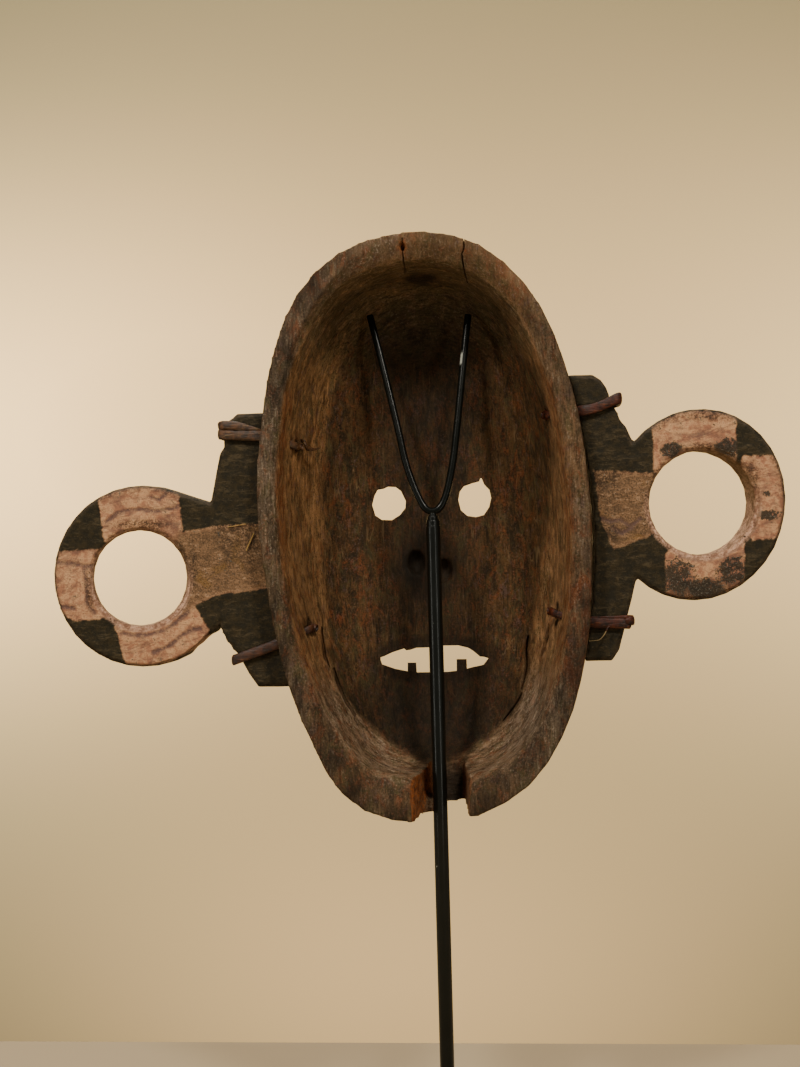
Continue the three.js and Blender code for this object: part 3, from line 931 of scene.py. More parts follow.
@dataclass(frozen=True)
class EarPaint:
    """Wood with fields of pink ochre on black, veined, stained and rubbed through."""

    black: str = "1f1b10"
    brown: str = "2e2616"
    ochre: str = "92634a"
    pale: str = "bd9069"
    light: str = "d3b18a"
    vein: str = "55403a"
    rubbed: str = "5b4530"
    scrub: str = "7a5c41"
    bare: str = "8a6a4e"
    # Paler lip tones, laid below each hole as painted light on the lip and wall that face up.
    lip: str = "bd967c"
    lip_dark: str = "72513f"
    mottle: str = "191a14"
    glint: str = "72736a"
    straw: str = "a08048"
    drag: str = "574a34"
    dust: str = "6b5a43"
    soot: str = "15120c"
    wall: str = "5d4429"
    wall_dark: str = "33251a"
    arris: str = "40352a"
    stroke: str = "a58568"
    amber: str = "6d4f22"
    grit: str = "31271b"
    chalk: str = "b39a80"
    # Colour of grime, also laid as painted shade along the top of each hole's lip.
    grime_and_shade: str = "33271b"

    def material(self) -> bpy.types.Material:
        """Build the material.

        Returns:
            The material.
        """
        board = Board("painted_ear_wood", 0.14)
        grain = board.noise(board.spread((0.3, 1, 1)), 380, 6, 0.7, 0.5)
        broad = board.noise(board.spread((0.6, 1, 1)), 70, 7, 0.7, 0.7)
        spots = board.noise(board.place, 210, 6, 0.72, 0.3)
        dust = board.noise(board.place, 800, 4, 0.7)
        dark = board.coats(
            board.tones(board.rise(spots, 0.42, 0.6), self.black, self.brown),
            (board.rise(board.mixed(grain, 0.7, broad, 0.3), 0.5, 0.62, 0.4), self.drag),
            (board.rise(dust, 0.6, 0.72, 0.5), self.dust),
            (board.rise(dust, 0.46, 0.34, 0.6), self.soot),
        )
        paint = self.pigment(board, broad, spots, dust)
        paint = board.blend(board.layer("fade"), paint, self.worn(board, grain, spots, dust))
        paint = self.stained(board, paint, spots, dust)
        border = board.plus(board.layer("paint"), board.centred(spots, 0.5))
        colour = board.blend(board.rise(border, -0.07, 0.09), dark, paint)
        wall = board.tones(board.rise(spots, 0.4, 0.6), self.wall, self.bare)
        wall = board.coats(wall, (board.rise(dust, 0.46, 0.36, 0.7), self.wall_dark))
        colour = board.blend(board.layer("bare"), colour, wall)
        # Painted light: the hole's lip is paler where the lip layer lies, below the hole.
        lip = board.tones(board.rise(spots, 0.38, 0.6), self.lip_dark, self.lip)
        colour = board.coats(
            board.blend(board.times(board.layer("lip"), board.rise(dust, 0.36, 0.5)), colour, lip),
            (board.times(board.layer("edge"), board.rise(spots, 0.35, 0.6, 0.75)), self.arris),
            (board.layer("straw"), self.straw),
        )
        fine = board.relief(grain, 0.45, board.relief(broad, 0.9))
        return board.finish(colour, board.scaled(spots, 0.3, 0.52), board.relief(dust, 0.25, fine))

    def pigment(self, board: Board, broad: object, spots: object, dust: object) -> object:
        """The ochre itself, with soft veins along the grain.

        Args:
            board: The material's nodes.
            broad: Broad noise.
            spots: Middling noise.
            dust: Fine noise.

        Returns:
            The colour.
        """
        cloud = board.mixed(spots, 0.6, broad, 0.4)
        ripple = board.noise(board.spread((0.45, 1, 1), (0, 10, 0)), 62, 3, 0.55, 1.0)
        second = board.noise(board.spread((0.35, 1, 1), (0, -14, 40)), 130, 3, 0.6, 0.8)
        return board.coats(
            board.tones(board.rise(cloud, 0.42, 0.58), self.ochre, self.pale),
            (board.rise(cloud, 0.57, 0.68, 0.6), self.light),
            (board.creases(ripple, 0.03, 0.45), self.vein),
            (board.creases(second, 0.02, 0.35), self.vein),
            (board.rise(broad, 0.47, 0.36, 0.45), self.vein),
            (board.rise(dust, 0.44, 0.33, 0.5), self.vein),
            (board.rise(dust, 0.6, 0.72, 0.6), self.light),
        )

    def worn(self, board: Board, grain: object, spots: object, dust: object) -> object:
        """The square next to the mask, rubbed down to brown with strokes of old paint.

        Args:
            board: The material's nodes.
            grain: Noise along the grain.
            spots: Middling noise.
            dust: Fine noise.

        Returns:
            The colour.
        """
        strokes = board.mixed(grain, 0.55, spots, 0.45)
        amber = board.noise(board.place, 48, 4, 0.6, 0.5)
        return board.coats(
            board.tones(board.rise(strokes, 0.42, 0.57), self.rubbed, self.scrub),
            (board.rise(strokes, 0.54, 0.62, 0.75), self.stroke),
            (board.rise(amber, 0.56, 0.68, 0.6), self.amber),
            (board.rise(dust, 0.5, 0.4, 0.75), self.grit),
            (board.rise(dust, 0.58, 0.7, 0.5), self.chalk),
        )

    def stained(self, board: Board, paint: object, spots: object, dust: object) -> object:
        """Drawn-out veins, brown grime with painted shade along the top of each hole's lip, and blue-black mottling
        with painted glints over the paint.

        Args:
            board: The material's nodes.
            paint: The paint's colour.
            spots: Middling noise.
            dust: Fine noise.

        Returns:
            The colour.
        """
        rough = board.mixed(spots, 0.5, dust, 0.5)
        paint = board.coats(
            paint,
            (board.times(board.layer("vein"), board.rise(rough, 0.7, 0.46, 0.9)), self.vein),
            # Grime, and painted shade along the top of each hole's lip.
            (board.times(board.layer("grime_and_shade"), board.rise(rough, 0.6, 0.42, 0.9)), self.grime_and_shade),
        )
        reach = board.plus(board.mixed(spots, 0.6, dust, 0.4), board.times(board.layer("mottle"), 0.15))
        glint = board.tones(board.rise(dust, 0.55, 0.68, 0.65), self.mottle, self.glint)
        return board.blend(board.rise(reach, 0.56, 0.62, 0.92), paint, glint)


@dataclass(frozen=True)
class CaneSkin:
    """Split cane, split along its length, dull where it is dusty and slightly glossy where it is rubbed."""

    name: str
    dark: str
    brown: str
    pale: str
    tuft: str = "8c7650"
    shine: float = 0.4
    matt: float = 0.3

    def material(self) -> bpy.types.Material:
        """Build the material.

        Returns:
            The material.
        """
        board = Board(self.name, self.shine)
        fibre = board.noise(board.spread((0.12, 1, 1), (0, 6, 0)), 800, 4, 0.65)
        blotch = board.noise(board.place, 190, 6, 0.7)
        colour = board.coats(
            board.tones(board.rise(blotch, 0.38, 0.62), self.dark, self.brown),
            (board.rise(fibre, 0.54, 0.7, 0.7), self.pale),
            (board.rise(fibre, 0.42, 0.3, 0.8), self.dark),
            (board.layer("pale"), self.tuft),
        )
        return board.finish(colour, board.scaled(blotch, 0.4, self.matt), board.relief(fibre, 0.5))


@dataclass(frozen=True)
class StandPaint:
    """Satin black paint on steel, with brush drag and a few chips."""

    name: str
    paint: str = "080a07"
    cloud: str = "0b0d0a"
    chip: str = "9a9b90"
    worn: float = 0.745
    shine: float = 0.26
    matt: float = 0.16

    def material(self) -> bpy.types.Material:
        """Build the material.

        Returns:
            The material.
        """
        board = Board(self.name, self.shine)
        drag = board.noise(board.spread((1, 1, 0.08)), 700, 3, 0.5)
        cloud = board.noise(board.place, 60, 4, 0.6)
        spot = board.noise(board.spread((1, 1, 0.6)), 210, 3, 0.5)
        chips = board.calc("MAXIMUM", board.rise(spot, self.worn, self.worn + 0.02), board.layer("chip"))
        colour = board.coats(board.tones(board.rise(cloud, 0.3, 0.7), self.paint, self.cloud), (chips, self.chip))
        return board.finish(colour, board.scaled(cloud, 0.14, self.matt), board.relief(drag, 0.05))


# The mask

# Corners of a plug, and the y in the mask's frame of the plane that the floor's outline is given on
PLUG_CORNERS = 28
FLOOR_PLANE = -80


@dataclass(frozen=True)
class Crack:
    """A split in the wood: its line in the mask's frame at one y, its width and how deep it goes."""

    name: str
    level: float
    line: tuple
    width: float
    into: tuple
    depth: float

    def cutter(self, body: bpy.types.Object, viewer: tuple) -> bpy.types.Object:
        """Build the wedge that cuts it.

        Args:
            body: The mask, on whose surface the line is found.
            viewer: Where the lines of sight meet.

        Returns:
            A closed wedge that stands out of the surface a little.
        """
        spots = [(x, self.level, z) for x, z in self.line]
        line = np.array([met_by_ray(body, viewer, np.subtract(spot, viewer), spot) for spot in spots])
        into = np.array(self.into, float)
        into /= np.linalg.norm(into)
        across = np.cross(np.gradient(line, axis=0), into)
        across /= np.linalg.norm(across, axis=1)[:, None]
        last = len(line) - 1
        rings = []
        for i, point in enumerate(line):
            half = self.width / 2 * (0.25 + 0.75 * math.sin(math.pi * (i + 0.4) / (last + 0.8)))
            top = point - into * 3
            low = point + into * self.depth * (0.5 + 0.5 * math.sin(math.pi * (i + 0.5) / (last + 1)))
            mouth, tip = across[i] * half * 1.3, across[i] * 0.12
            rings.append((top + mouth, low + tip, low - tip, top - mouth))
        return loft(f"cut_{self.name}", rings)


@dataclass(frozen=True)
class Opening:
    """A hole through the face: its ragged outline half-way through, and the plain hole it replaces."""

    name: str
    corners: tuple
    plug: tuple

    def cutter(self, viewer: tuple, middle: float, near: float, far: float) -> bpy.types.Object:
        """Build the form that opens it, its sides on the lines of sight.

        Args:
            viewer: Where the lines of sight meet.
            middle: The y at which the corners are given.
            near: The y where the form starts in the hollow.
            far: The y where it ends in front of the face.

        Returns:
            A closed prism.
        """
        eye = np.array(viewer)
        rings = []
        for y in (near, far):
            grow = (y - eye[1]) / (middle - eye[1])
            rings.append([eye + (np.array([x, middle, z]) - eye) * grow for x, z in self.corners])
        return loft(f"cut_{self.name}", rings)

    def filler(self, body: bpy.types.Object) -> bpy.types.Object:
        """Build the plug that closes the plain hole, flush with the wood round it.

        Args:
            body: The mask.

        Returns:
            A closed plug.
        """
        x, z, wide, tall = self.plug
        angles = [2 * math.pi * k / PLUG_CORNERS for k in range(PLUG_CORNERS)]
        rings = []
        for start, way in ((-30.0, -1.0), (-190.0, 1.0)):
            corners = [(x + wide * math.cos(angle), start, z + tall * math.sin(angle)) for angle in angles]
            rings.append([met_by_ray(body, corner, (0.0, way, 0.0), corner) for corner in corners])
        return loft(f"plug_{self.name}", rings)


EYE_LEFT = Opening(
    "eye_left",
    (
        (45.7, 17.7), (43.9, 24.3), (41.4, 28.7), (36.7, 29.4), (33.7, 30.8), (28.0, 30.4), (24.1, 27.4),
        (20.7, 19.9), (21.2, 14.6), (25.3, 9.7), (31.3, 6.0), (38.8, 6.4), (43.6, 9.8),
    ),
    (32.5, 18.0, 14.4, 14.4),
)
EYE_RIGHT = Opening(
    "eye_right",
    (
        (-18.2, 19.6), (-19.4, 25.6), (-22.5, 29.5), (-28.6, 31.5), (-33.9, 32.8), (-34.8, 35.0), (-35.7, 35.1),
        (-37.6, 30.4), (-41.3, 26.3), (-42.4, 20.5), (-40.8, 13.8), (-36.8, 8.0), (-31.0, 6.6), (-24.5, 7.7),
        (-19.9, 12.0),
    ),
    (-30.5, 20.0, 14.4, 14.4),
)
MOUTH = Opening(
    "mouth",
    (
        (42.5, -97.4), (42.5, -95.4), (39.7, -94.5), (33.7, -91.8), (24.7, -89.1), (23.3, -90.5), (20.3, -90.2),
        (15.8, -88.8), (5.5, -88.6), (-3.4, -87.5), (-15.3, -87.6), (-22.6, -89.5), (-26.2, -91.8), (-31.2, -96.1),
        (-34.2, -96.4), (-37.4, -97.5), (-33.6, -102.2), (-25.1, -103.9), (-21.3, -104.9), (-21.2, -97.8),
        (-13.9, -97.7), (-13.7, -106.3), (-7.4, -106.9), (5.9, -107.0), (15.9, -106.9), (16.1, -99.7),
        (22.4, -99.6), (22.6, -106.0), (31.8, -104.0), (41.4, -100.5),
    ),
    (2.75, -97.0, 43.5, 12.6),
)


# Where the hollow's dark floor ends: x and z on the floor's plane, along the viewer's lines of sight
FLOOR_OUTLINE = [
    (-2, -172), (-16.8, -167.8), (-30.2, -157.1), (-41.5, -147), (-54, -138.5), (-62, -122), (-67, -100),
    (-70, -83), (-77, -40), (-86, 10), (-88.4, 46.3), (-86.3, 75.3), (-83.8, 89.9), (-77.1, 110.4),
    (-68.8, 126.7), (-63.3, 135.6), (-53, 156.3), (-30, 170), (4, 172), (29, 162), (47, 146), (63, 124),
    (75, 84), (81, 22), (80, -22), (77, -62), (77, -82), (76, -100), (71.4, -117.6), (62.8, -128.7),
    (53.5, -139.8), (42.7, -149.5), (28.3, -160.7), (13.9, -169),
]


@dataclass
class MaskBody:
    """The hollowed face: hewn inside, cracked at the top, split open at the chin.

    Lengths are in millimetres in the mask's frame. A lashing hole is its name, middle, depth and half width. The
    opening levels are the ys of the openings' corners and of the two ends of the forms that cut them.
    """

    voxel: float = 2.0
    viewer: tuple = (-89.1, 1096.5, -4.0)
    openings: tuple = (EYE_LEFT, EYE_RIGHT, MOUTH)
    knot: tuple = (10.0, 191.3)
    knot_size: tuple = (4.4, 7.2)
    lashing_holes: tuple = (
        ("left_upper", (90.5, -37.0, 60.5), 5.4, 5.0),
        ("left_lower", (84.5, -37.5, -68.5), 5.6, 6.8),
        ("right_upper", (-85.0, -38.0, 76.5), 4.0, 3.6),
        ("right_lower", (-85.5, -39.0, -57.5), 3.0, 3.4),
        ("right_lowest", (-84.0, -39.0, -68.5), 3.6, 3.8),
    )
    cracks: tuple = (
        Crack("knot_top", 0, ((9.8, 197), (9.9, 194)), 0.9, (0, -1, 0), 6),
        Crack("knot_low", 0, ((9.8, 189), (9.4, 184), (8.8, 179), (8.6, 173)), 1.0, (0, -1, 0), 24),
        Crack(
            "top",
            0,
            ((-31.9, 198.2), (-32.0, 193.5), (-32.2, 188.4), (-30.5, 184.6), (-31.0, 179), (-32.0, 173), (-33.9, 165)),
            1.2,
            (0, -1, 0),
            11,
        ),
        Crack("knot_slit", -38, ((-84, 73), (-85, 69), (-86.5, 62)), 1.6, (-1, -0.3, 0), 7),
        Crack(
            "cheek_right",
            -72,
            ((-67.2, -80), (-65.5, -90), (-66.0, -100), (-63.8, -111), (-61.4, -119)),
            4.0,
            (-0.04, -1, 0),
            9,
        ),
        Crack(
            "crease_right",
            -72,
            ((-61.8, -121), (-58.1, -127.6), (-52.8, -134.7), (-47.6, -141)),
            2.2,
            (-0.1, -1, 0),
            7,
        ),
        Crack("wall_right", -45, ((-82.6, -70), (-81.0, -78.7), (-78.7, -85.7), (-76.4, -93)), 4.4, (-0.3, -1, 0), 9),
        Crack("wall_left", -60, ((80.6, -70), (79.4, -81), (78.2, -91), (75.5, -99.6)), 3.0, (0.2, -1, 0), 8),
        Crack(
            "crease_left", -72, ((74.3, -100.7), (70.9, -112.4), (66.1, -124.1), (59.1, -135.9)), 3.0, (0.08, -1, 0), 8
        ),
    )
    opening_levels: tuple = (-95, -76, -140)

    def build(self) -> bpy.types.Object:
        """Model the mask from its CAD form.

        Returns:
            The finished piece.
        """
        body = copy_of("mask", "mask_wood")
        self.close(body)
        apply_modifier(body, "REMESH", mode="VOXEL", voxel_size=self.voxel * MM, use_smooth_shade=True)
        apply_modifier(body, "SMOOTH", factor=0.5, iterations=2)
        self.lean(body)
        self.soften(body)
        self.hew(body)
        cut(body, [opening.cutter(self.viewer, *self.opening_levels) for opening in self.openings])
        bpy.context.view_layer.update()
        cracks = [crack.cutter(body, self.viewer) for crack in self.cracks]
        cut(body, [self.knot_cutter(), *self.hole_cutters(), *cracks])
        self.mark(body)
        smooth_shading(body)
        body.data.materials.append(MaskWood().material())
        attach(body, "root")
        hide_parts("mask")
        return body

    def close(self, body: bpy.types.Object) -> None:
        """Fill the plain eye and mouth holes, which are opened again along their ragged outlines."""
        bpy.context.view_layer.update()
        join(body, [opening.filler(body) for opening in self.openings])

    def hole_cutters(self) -> list[bpy.types.Object]:
        """Build the worn pockets round the lashings' knots.

        Returns:
            The cutters.
        """
        made = []
        count = 7
        for name, place, deep, wide in self.lashing_holes:
            centre = np.array(place)
            rings = []
            for step, size in ((-6.0, 1.15), (deep, 0.8)):
                out = centre + np.array([step * math.copysign(1, centre[0]), 0, 0])
                angles = [2 * math.pi * (k + 0.35 * math.sin(3 * k + deep)) / count for k in range(count)]
                rings.append(
                    [out + np.array([0, math.cos(angle), 1.1 * math.sin(angle)]) * wide * size for angle in angles]
                )
            made.append(loft(f"cut_{name}", rings))
        return made

    def knot_cutter(self) -> bpy.types.Object:
        """Build the almond-shaped hole of the fallen knot.

        Returns:
            The cutter.
        """
        x, z = self.knot
        wide, tall = self.knot_size
        count = 16
        angles = [2 * math.pi * k / count for k in range(count)]
        rings = []
        for y, size in ((3.0, 1.25), (0.0, 1.0), (-5.0, 0.7), (-11.0, 0.2)):
            across = [x + size * wide / 2 * math.sin(angle) for angle in angles]
            upward = [z + size * tall / 2 * math.copysign(abs(math.cos(a)) ** 1.5, math.cos(a)) for a in angles]
            rings.append([(px, y, pz) for px, pz in zip(across, upward)])
        return loft("cut_knot", rings)

    def inside_share(self, points: np.ndarray, normals: np.ndarray) -> np.ndarray:
        """Tell the hollow's surface from the outer one.

        Args:
            points: Points in the mask's frame.
            normals: Their normals.

        Returns:
            1 in the hollow and 0 outside.
        """
        heart = np.stack([np.zeros(len(points)), np.zeros(len(points)), np.clip(points[:, 2], -110, 110)], axis=1)
        to_heart = heart - points
        to_heart /= np.linalg.norm(to_heart, axis=1)[:, None]
        return ease((to_heart * normals).sum(1), -0.15, 0.2) * ease(points[:, 1], -0.2, -2.5)

    def lean(self, body: bpy.types.Object) -> None:
        """Slope the rim down towards the hollow, most at the crown and the chin."""
        points, normals = points_of(body)
        x, y, z = points.T
        wide, tall = RIM_HALF
        reach = rim_reach(points)
        turn = np.arctan2(z / tall, x / wide)
        flat = (y > -0.8) & (normals[:, 1] > 0.9)
        steps = 72
        slot = np.clip(((turn + math.pi) / (2 * math.pi) * steps).astype(int), 0, steps - 1)
        edge = np.full(steps, 0.86)
        for index in range(steps):
            near = reach[flat & (slot == index)]
            if len(near) > 12:
                edge[index] = np.quantile(near, 0.02)
        centres = (np.arange(steps) + 0.5) / steps * 2 * math.pi - math.pi
        start = np.interp(turn, centres, edge, period=2 * math.pi)
        beyond = (reach - start) * np.hypot(wide * np.cos(turn), tall * np.sin(turn))
        ends = ease(np.abs(z), 90, 150)
        span = 6 + 11 * ends
        drop = (2.0 + 4.0 * ends) * (1 - np.clip(beyond / span, 0, 1)) ** 2
        drop *= ease(y, -34, 0) * (reach < 0.995) * ease(beyond, -40, -12)
        points[:, 1] -= drop
        move_points(body, points)

    def soften(self, body: bpy.types.Object) -> None:
        """Round the rim's inner edge, most at the crown and the chin."""
        points, _ = points_of(body)
        x, y, z = points.T
        reach = rim_reach(points)
        rounding = ease(y, -20, -6) * ease(reach, 0.97, 0.9) * ease(reach, 0.66, 0.74)
        crisp = ease(x, -40, -75) * ease(z, -20, 20) * ease(z, 150, 110)
        rounding *= 0.65 + 0.35 * ease(np.abs(z), 80, 140) - 0.4 * crisp
        group = body.vertex_groups.new(name="rounding")
        for index in np.flatnonzero(rounding > 0.02):
            group.add([int(index)], float(rounding[index]), "REPLACE")
        apply_modifier(body, "SMOOTH", factor=0.8, iterations=42, vertex_group="rounding")
        body.vertex_groups.clear()

    def hew(self, body: bpy.types.Object) -> None:
        """Press the tool marks, the sagging rim and the worn edges into the wood."""
        points, normals = points_of(body)
        _, y, z = points.T
        inside = self.inside_share(points, normals)
        rim = ease(y, -2.0, -0.2) * ease(normals[:, 1], 0.5, 0.9)
        outside = np.clip(1 - inside - rim, 0, 1)
        gouge = scoops(points, (9, 9, 38), 3)
        arcs = scoops(points, (34, 14, 7), 61)
        crown = ease(z, 110, 150)
        gouge = gouge * (1 - crown) + 1.6 * arcs * crown
        swell = 0.5 + 0.5 * soft_noise(points, (38, 30, 60), 11)
        fibres = 0.5 + 0.5 * soft_noise(points, (4.5, 4.5, 55), 23, 2)
        ragged = ease(soft_noise(points, (7, 7, 30), 31), 0.15, 0.5)
        pits = 0.5 + 0.5 * soft_noise(points, (5, 5, 9), 37, 2)
        lower = ease(z, 10, -120)
        depth = inside * (0.4 * gouge + 1.0 * swell + 0.4 * fibres + 0.5 * pits + lower * 0.8 * ragged)
        facets = scoops(points, (16, 14, 26), 41)
        depth += outside * (0.7 * facets + 0.7 * swell)
        dents = scoops(points, (11, 30, 9), 57)
        depth += rim * (0.5 * dents + 0.4 * fibres + 0.4 * pits)
        border = ease(rim_reach(points), 0.93, 0.99) * ease(y, -24, -5)
        depth *= 1 - 0.85 * border
        move_points(body, points - normals * depth[:, None])

    def seen(self, points: np.ndarray) -> np.ndarray:
        """Move points along their lines of sight on to the plane of the floor's outline.

        Args:
            points: Points in the mask's frame.

        Returns:
            The moved points.
        """
        eye = np.array(self.viewer)
        share = (FLOOR_PLANE - eye[1]) / (points[:, 1] - eye[1])
        return eye + (points - eye) * share[:, None]

    def mark(self, body: bpy.types.Object) -> None:
        """Keep on the mesh where the wood is pale, grey, warm, darkened, fresh and painted; the hollow's paleness,
        greyness and darkening are partly painted light and shade.
        """
        points, normals = points_of(body)
        x, y, z = points.T
        inside = self.inside_share(points, normals)
        rim = ease(y, -15.0, -4.0) * ease(normals[:, 1], 0.2, 0.85)
        store(body, "outside", np.clip(1 - inside - rim, 0, 1) * ease(y, -6, -14) * ease(normals[:, 1], 0.3, 0.0))
        wander = soft_noise(points, (18, 18, 40), 71)
        wobble = soft_noise(points, (7, 7, 14), 73)
        hollow = inside * (1 - rim)
        deep = ease(field_depth(self.seen(points), FLOOR_OUTLINE) + 3.5 * wobble, -4.5, 3.5)
        wall, floor = hollow * (1 - deep), hollow * deep
        crown = ease(z, 105, 160) * hollow
        chin = ease(z, -85, -130)
        reach = rim_reach(points) + 0.012 * wobble
        outer = ease(reach, 0.86, 0.93) * (1 - chin) + ease(reach, 0.885, 0.93) * chin
        right = ease(x, -30, -75)
        brow = hollow * ease(y, -30, -8) * ease(z, 95, 140)
        left, top = ease(x, 20, 80), ease(z, 120, 170)
        # Painted light: the walls are made paler, partly for their own tone and partly for lamp light reaching in;
        # darker on the chin's walls and low on the left wall.
        light = wall * (0.85 + 0.3 * wander) * (1 - 0.3 * crown) * (1 - 0.45 * chin) * (1 + 0.1 * right)
        light *= 1 - 0.22 * left * ease(z, 40, -10)
        # Painted light on the rim: lighter on its top and as a highlight along its upper right, a little darker on the
        # left.
        light += rim * (0.08 + 0.1 * wander + 0.2 * top * (1 - left) + 0.17 * right * ease(z, -10, 40) - 0.06 * left)
        # Painted light on the chin's rim: a paler inner edge as a highlight, a darker outer face as shade.
        light += rim * chin * (0.1 - 0.18 * outer)
        # Painted light: the crown's ceiling and the brow below the rim are made paler, as if lit.
        store(body, "light", np.clip(light + 0.19 * crown + 0.35 * brow, 0, 1))
        store(body, "even", np.clip(rim * (0.35 + 0.6 * top), 0, 1))
        ashen = 0.2 + 0.2 * left * ease(z, 110, 60) * ease(z, -30, 10)
        # Painted highlight: grey on the chin's inner rim, strongest on the right.
        chin_grey = (0.36 + 0.34 * right) * (1 - outer) + (0.1 + 0.16 * right) * outer
        greyed = rim * (0.07 + ashen * outer * (1 - chin) + chin * chin_grey)
        # Painted light: grey on the chin's walls, strongest on the right, stands in for highlights; grey on the brow
        # and crown for light on the shaded ceiling.
        greyed += wall * (0.06 + (0.4 + 0.15 * right) * chin + 0.12 * right) + 0.14 * brow + 0.22 * crown
        store(body, "grey", np.clip(greyed + 0.22 * wander * (rim + wall * chin), 0, 1))
        lip = (hollow * ease(y, -24, -9) + rim * (1 - outer)) * (1 - chin) * (1 - ease(z, 90, 130))
        warm = lip * (0.7 + 0.8 * wander) - 0.75 * crown
        warm -= wall * (1 - lip) * (1 - chin) * (0.05 + 0.25 * ease(z, 60, 110))
        warm += rim * (0.6 * right * ease(z, 10, -60) * (1 - chin) + 0.6 * wobble)
        store(body, "warm", np.clip(warm, -1, 1))
        store(body, "round", np.clip(hollow * (ease(z, 95, 140) + wall * chin) + 0.5 * rim * (1 - outer) * chin, 0, 1))
        dulled = rim * (0.26 + 0.24 * ease(reach, 0.93, 0.985)) * (1 - 0.8 * top * (1 - left))
        spared = 0.6 * right * ease(z, -10, 30) + 0.65 * left * ease(z, -50, -10)
        dulled *= 1 - spared * ease(z, 100, 60)
        dulled *= np.clip(0.85 + 1.1 * soft_noise(points, (9, 9, 13), 77), 0.2, 1.7)
        # The hollow's darkening, partly painted shade, stored together with the rim's dulled outer edge.
        store(body, "shade_and_darkening", np.maximum(self.lay_shade_and_darkening(points, inside, floor, crown, chin), dulled))
        notch = ease(np.abs(normals[:, 0]), 0.6, 0.85) * ease(z, -158, -170) * ease(np.abs(x + 6), 26, 20)
        notch *= ease(y, -72, -45) * (x > -6) + 0.45
        split = ease(np.hypot((x - self.knot[0]) / 3.5, (z - self.knot[1]) / 5.2), 1.05, 0.75) * (y > -12)
        store(body, "fresh", np.clip(notch * 0.8 + 0.8 * split, 0, 1))
        store(body, "paint", self.face_paint(points) / 10)

    def lay_shade_and_darkening(
        self, points: np.ndarray, inside: np.ndarray, floor: np.ndarray, crown: np.ndarray, chin: np.ndarray
    ) -> np.ndarray:
        """Lay out where the hollow is darker: painted shade in the nose's hollow, the nostril, the knots' pockets, the
        chin's ledge and a spot under the crown, and darker patches down the floor's middle, on the chin's floor, round
        the mouth and deep under the crown.

        Args:
            points: Points in the mask's frame.
            inside: Share of the hollow.
            floor: Share of the hollow's floor.
            crown: Share of its top.
            chin: Share of its lower end.

        Returns:
            Shares from 0 to 1.
        """
        x, y, z = points.T
        middle = floor * ease(np.abs(x - 2), 60, 18) * ease(z, 175, 120) * (0.52 + 0.12 * ease(z, 30, 90))
        # Painted shade: the hollow behind the carved nose is darkened.
        nose = inside * ease(np.hypot((x - 7) / 24, (z + 28) / 34), 1.3, 0.4) * 0.74
        # Painted shade: the nostril's pit is darkened.
        nostril = inside * ease(np.hypot((x - 16.4) / 5.5, (z + 28.5) / 9), 1.8, 0.7) * 0.9
        low = floor * chin * 0.52
        mouth = inside * ease(np.hypot((x - 2) / 46, (z + 97) / 16), 1.25, 0.95) * 0.5
        # Painted shade: a small spot high in the hollow, under the crown, is darkened.
        seen_x, _, seen_z = self.seen(points).T
        spot = inside * ease(np.hypot((seen_x - 3) / 12, (seen_z - 181) / 4.5), 1.4, 0.6) * 0.7
        upper = crown * 0.2 * (1 - ease(y, -45, -20))
        # Painted shade: the pockets round the lashings' knots are darkened.
        pockets = np.zeros(len(points))
        for _, (px, py, pz), _, wide in self.lashing_holes:
            away = np.hypot(y - py, z - pz) / wide
            pockets = np.maximum(pockets, ease(away, 1.25, 0.8) * (np.abs(x) > abs(px) + 1.5) * (x * px > 0) * inside)
        # Painted shade: the chin's ledge deep in the notch, behind the rod, is darkened.
        ledge = ease(np.abs(x + 6), 26, 20) * ease(z, -166, -174) * ease(y, -26, -48) * (y > -78)
        ledge *= 0.65 + 0.25 * ease(x, -2, -6) * ease(z, -174, -180)
        shares = np.stack([middle, nose, nostril, low, mouth, spot, upper, pockets * 0.9, ledge])
        return np.clip(1 - np.prod(1 - np.clip(shares, 0, 1), axis=0), 0, 0.94)

    def face_paint(self, points: np.ndarray) -> np.ndarray:
        """Lay out the worn ochre fields of the face.

        Args:
            points: Points in the mask's frame.

        Returns:
            Depth inside the fields in millimetres, at most 10.
        """
        fields = [
            [(16, 190), (16, 86), (66, 86), (72, 150)],
            [(-12, 80), (-12, 66), (-84, 66), (-84, 124), (-12, 124)],
            [(26, -14), (78, -14), (74, -72), (26, -72)],
            [(-22, -72), (-22, -14), (-74, -14), (-70, -72)],
            [(2, -122), (44, -122), (36, -190), (2, -196)],
        ]
        deepest = np.max([field_depth(points, corners) for corners in fields], axis=0)
        return np.clip(deepest, -10, 10)


# The ears


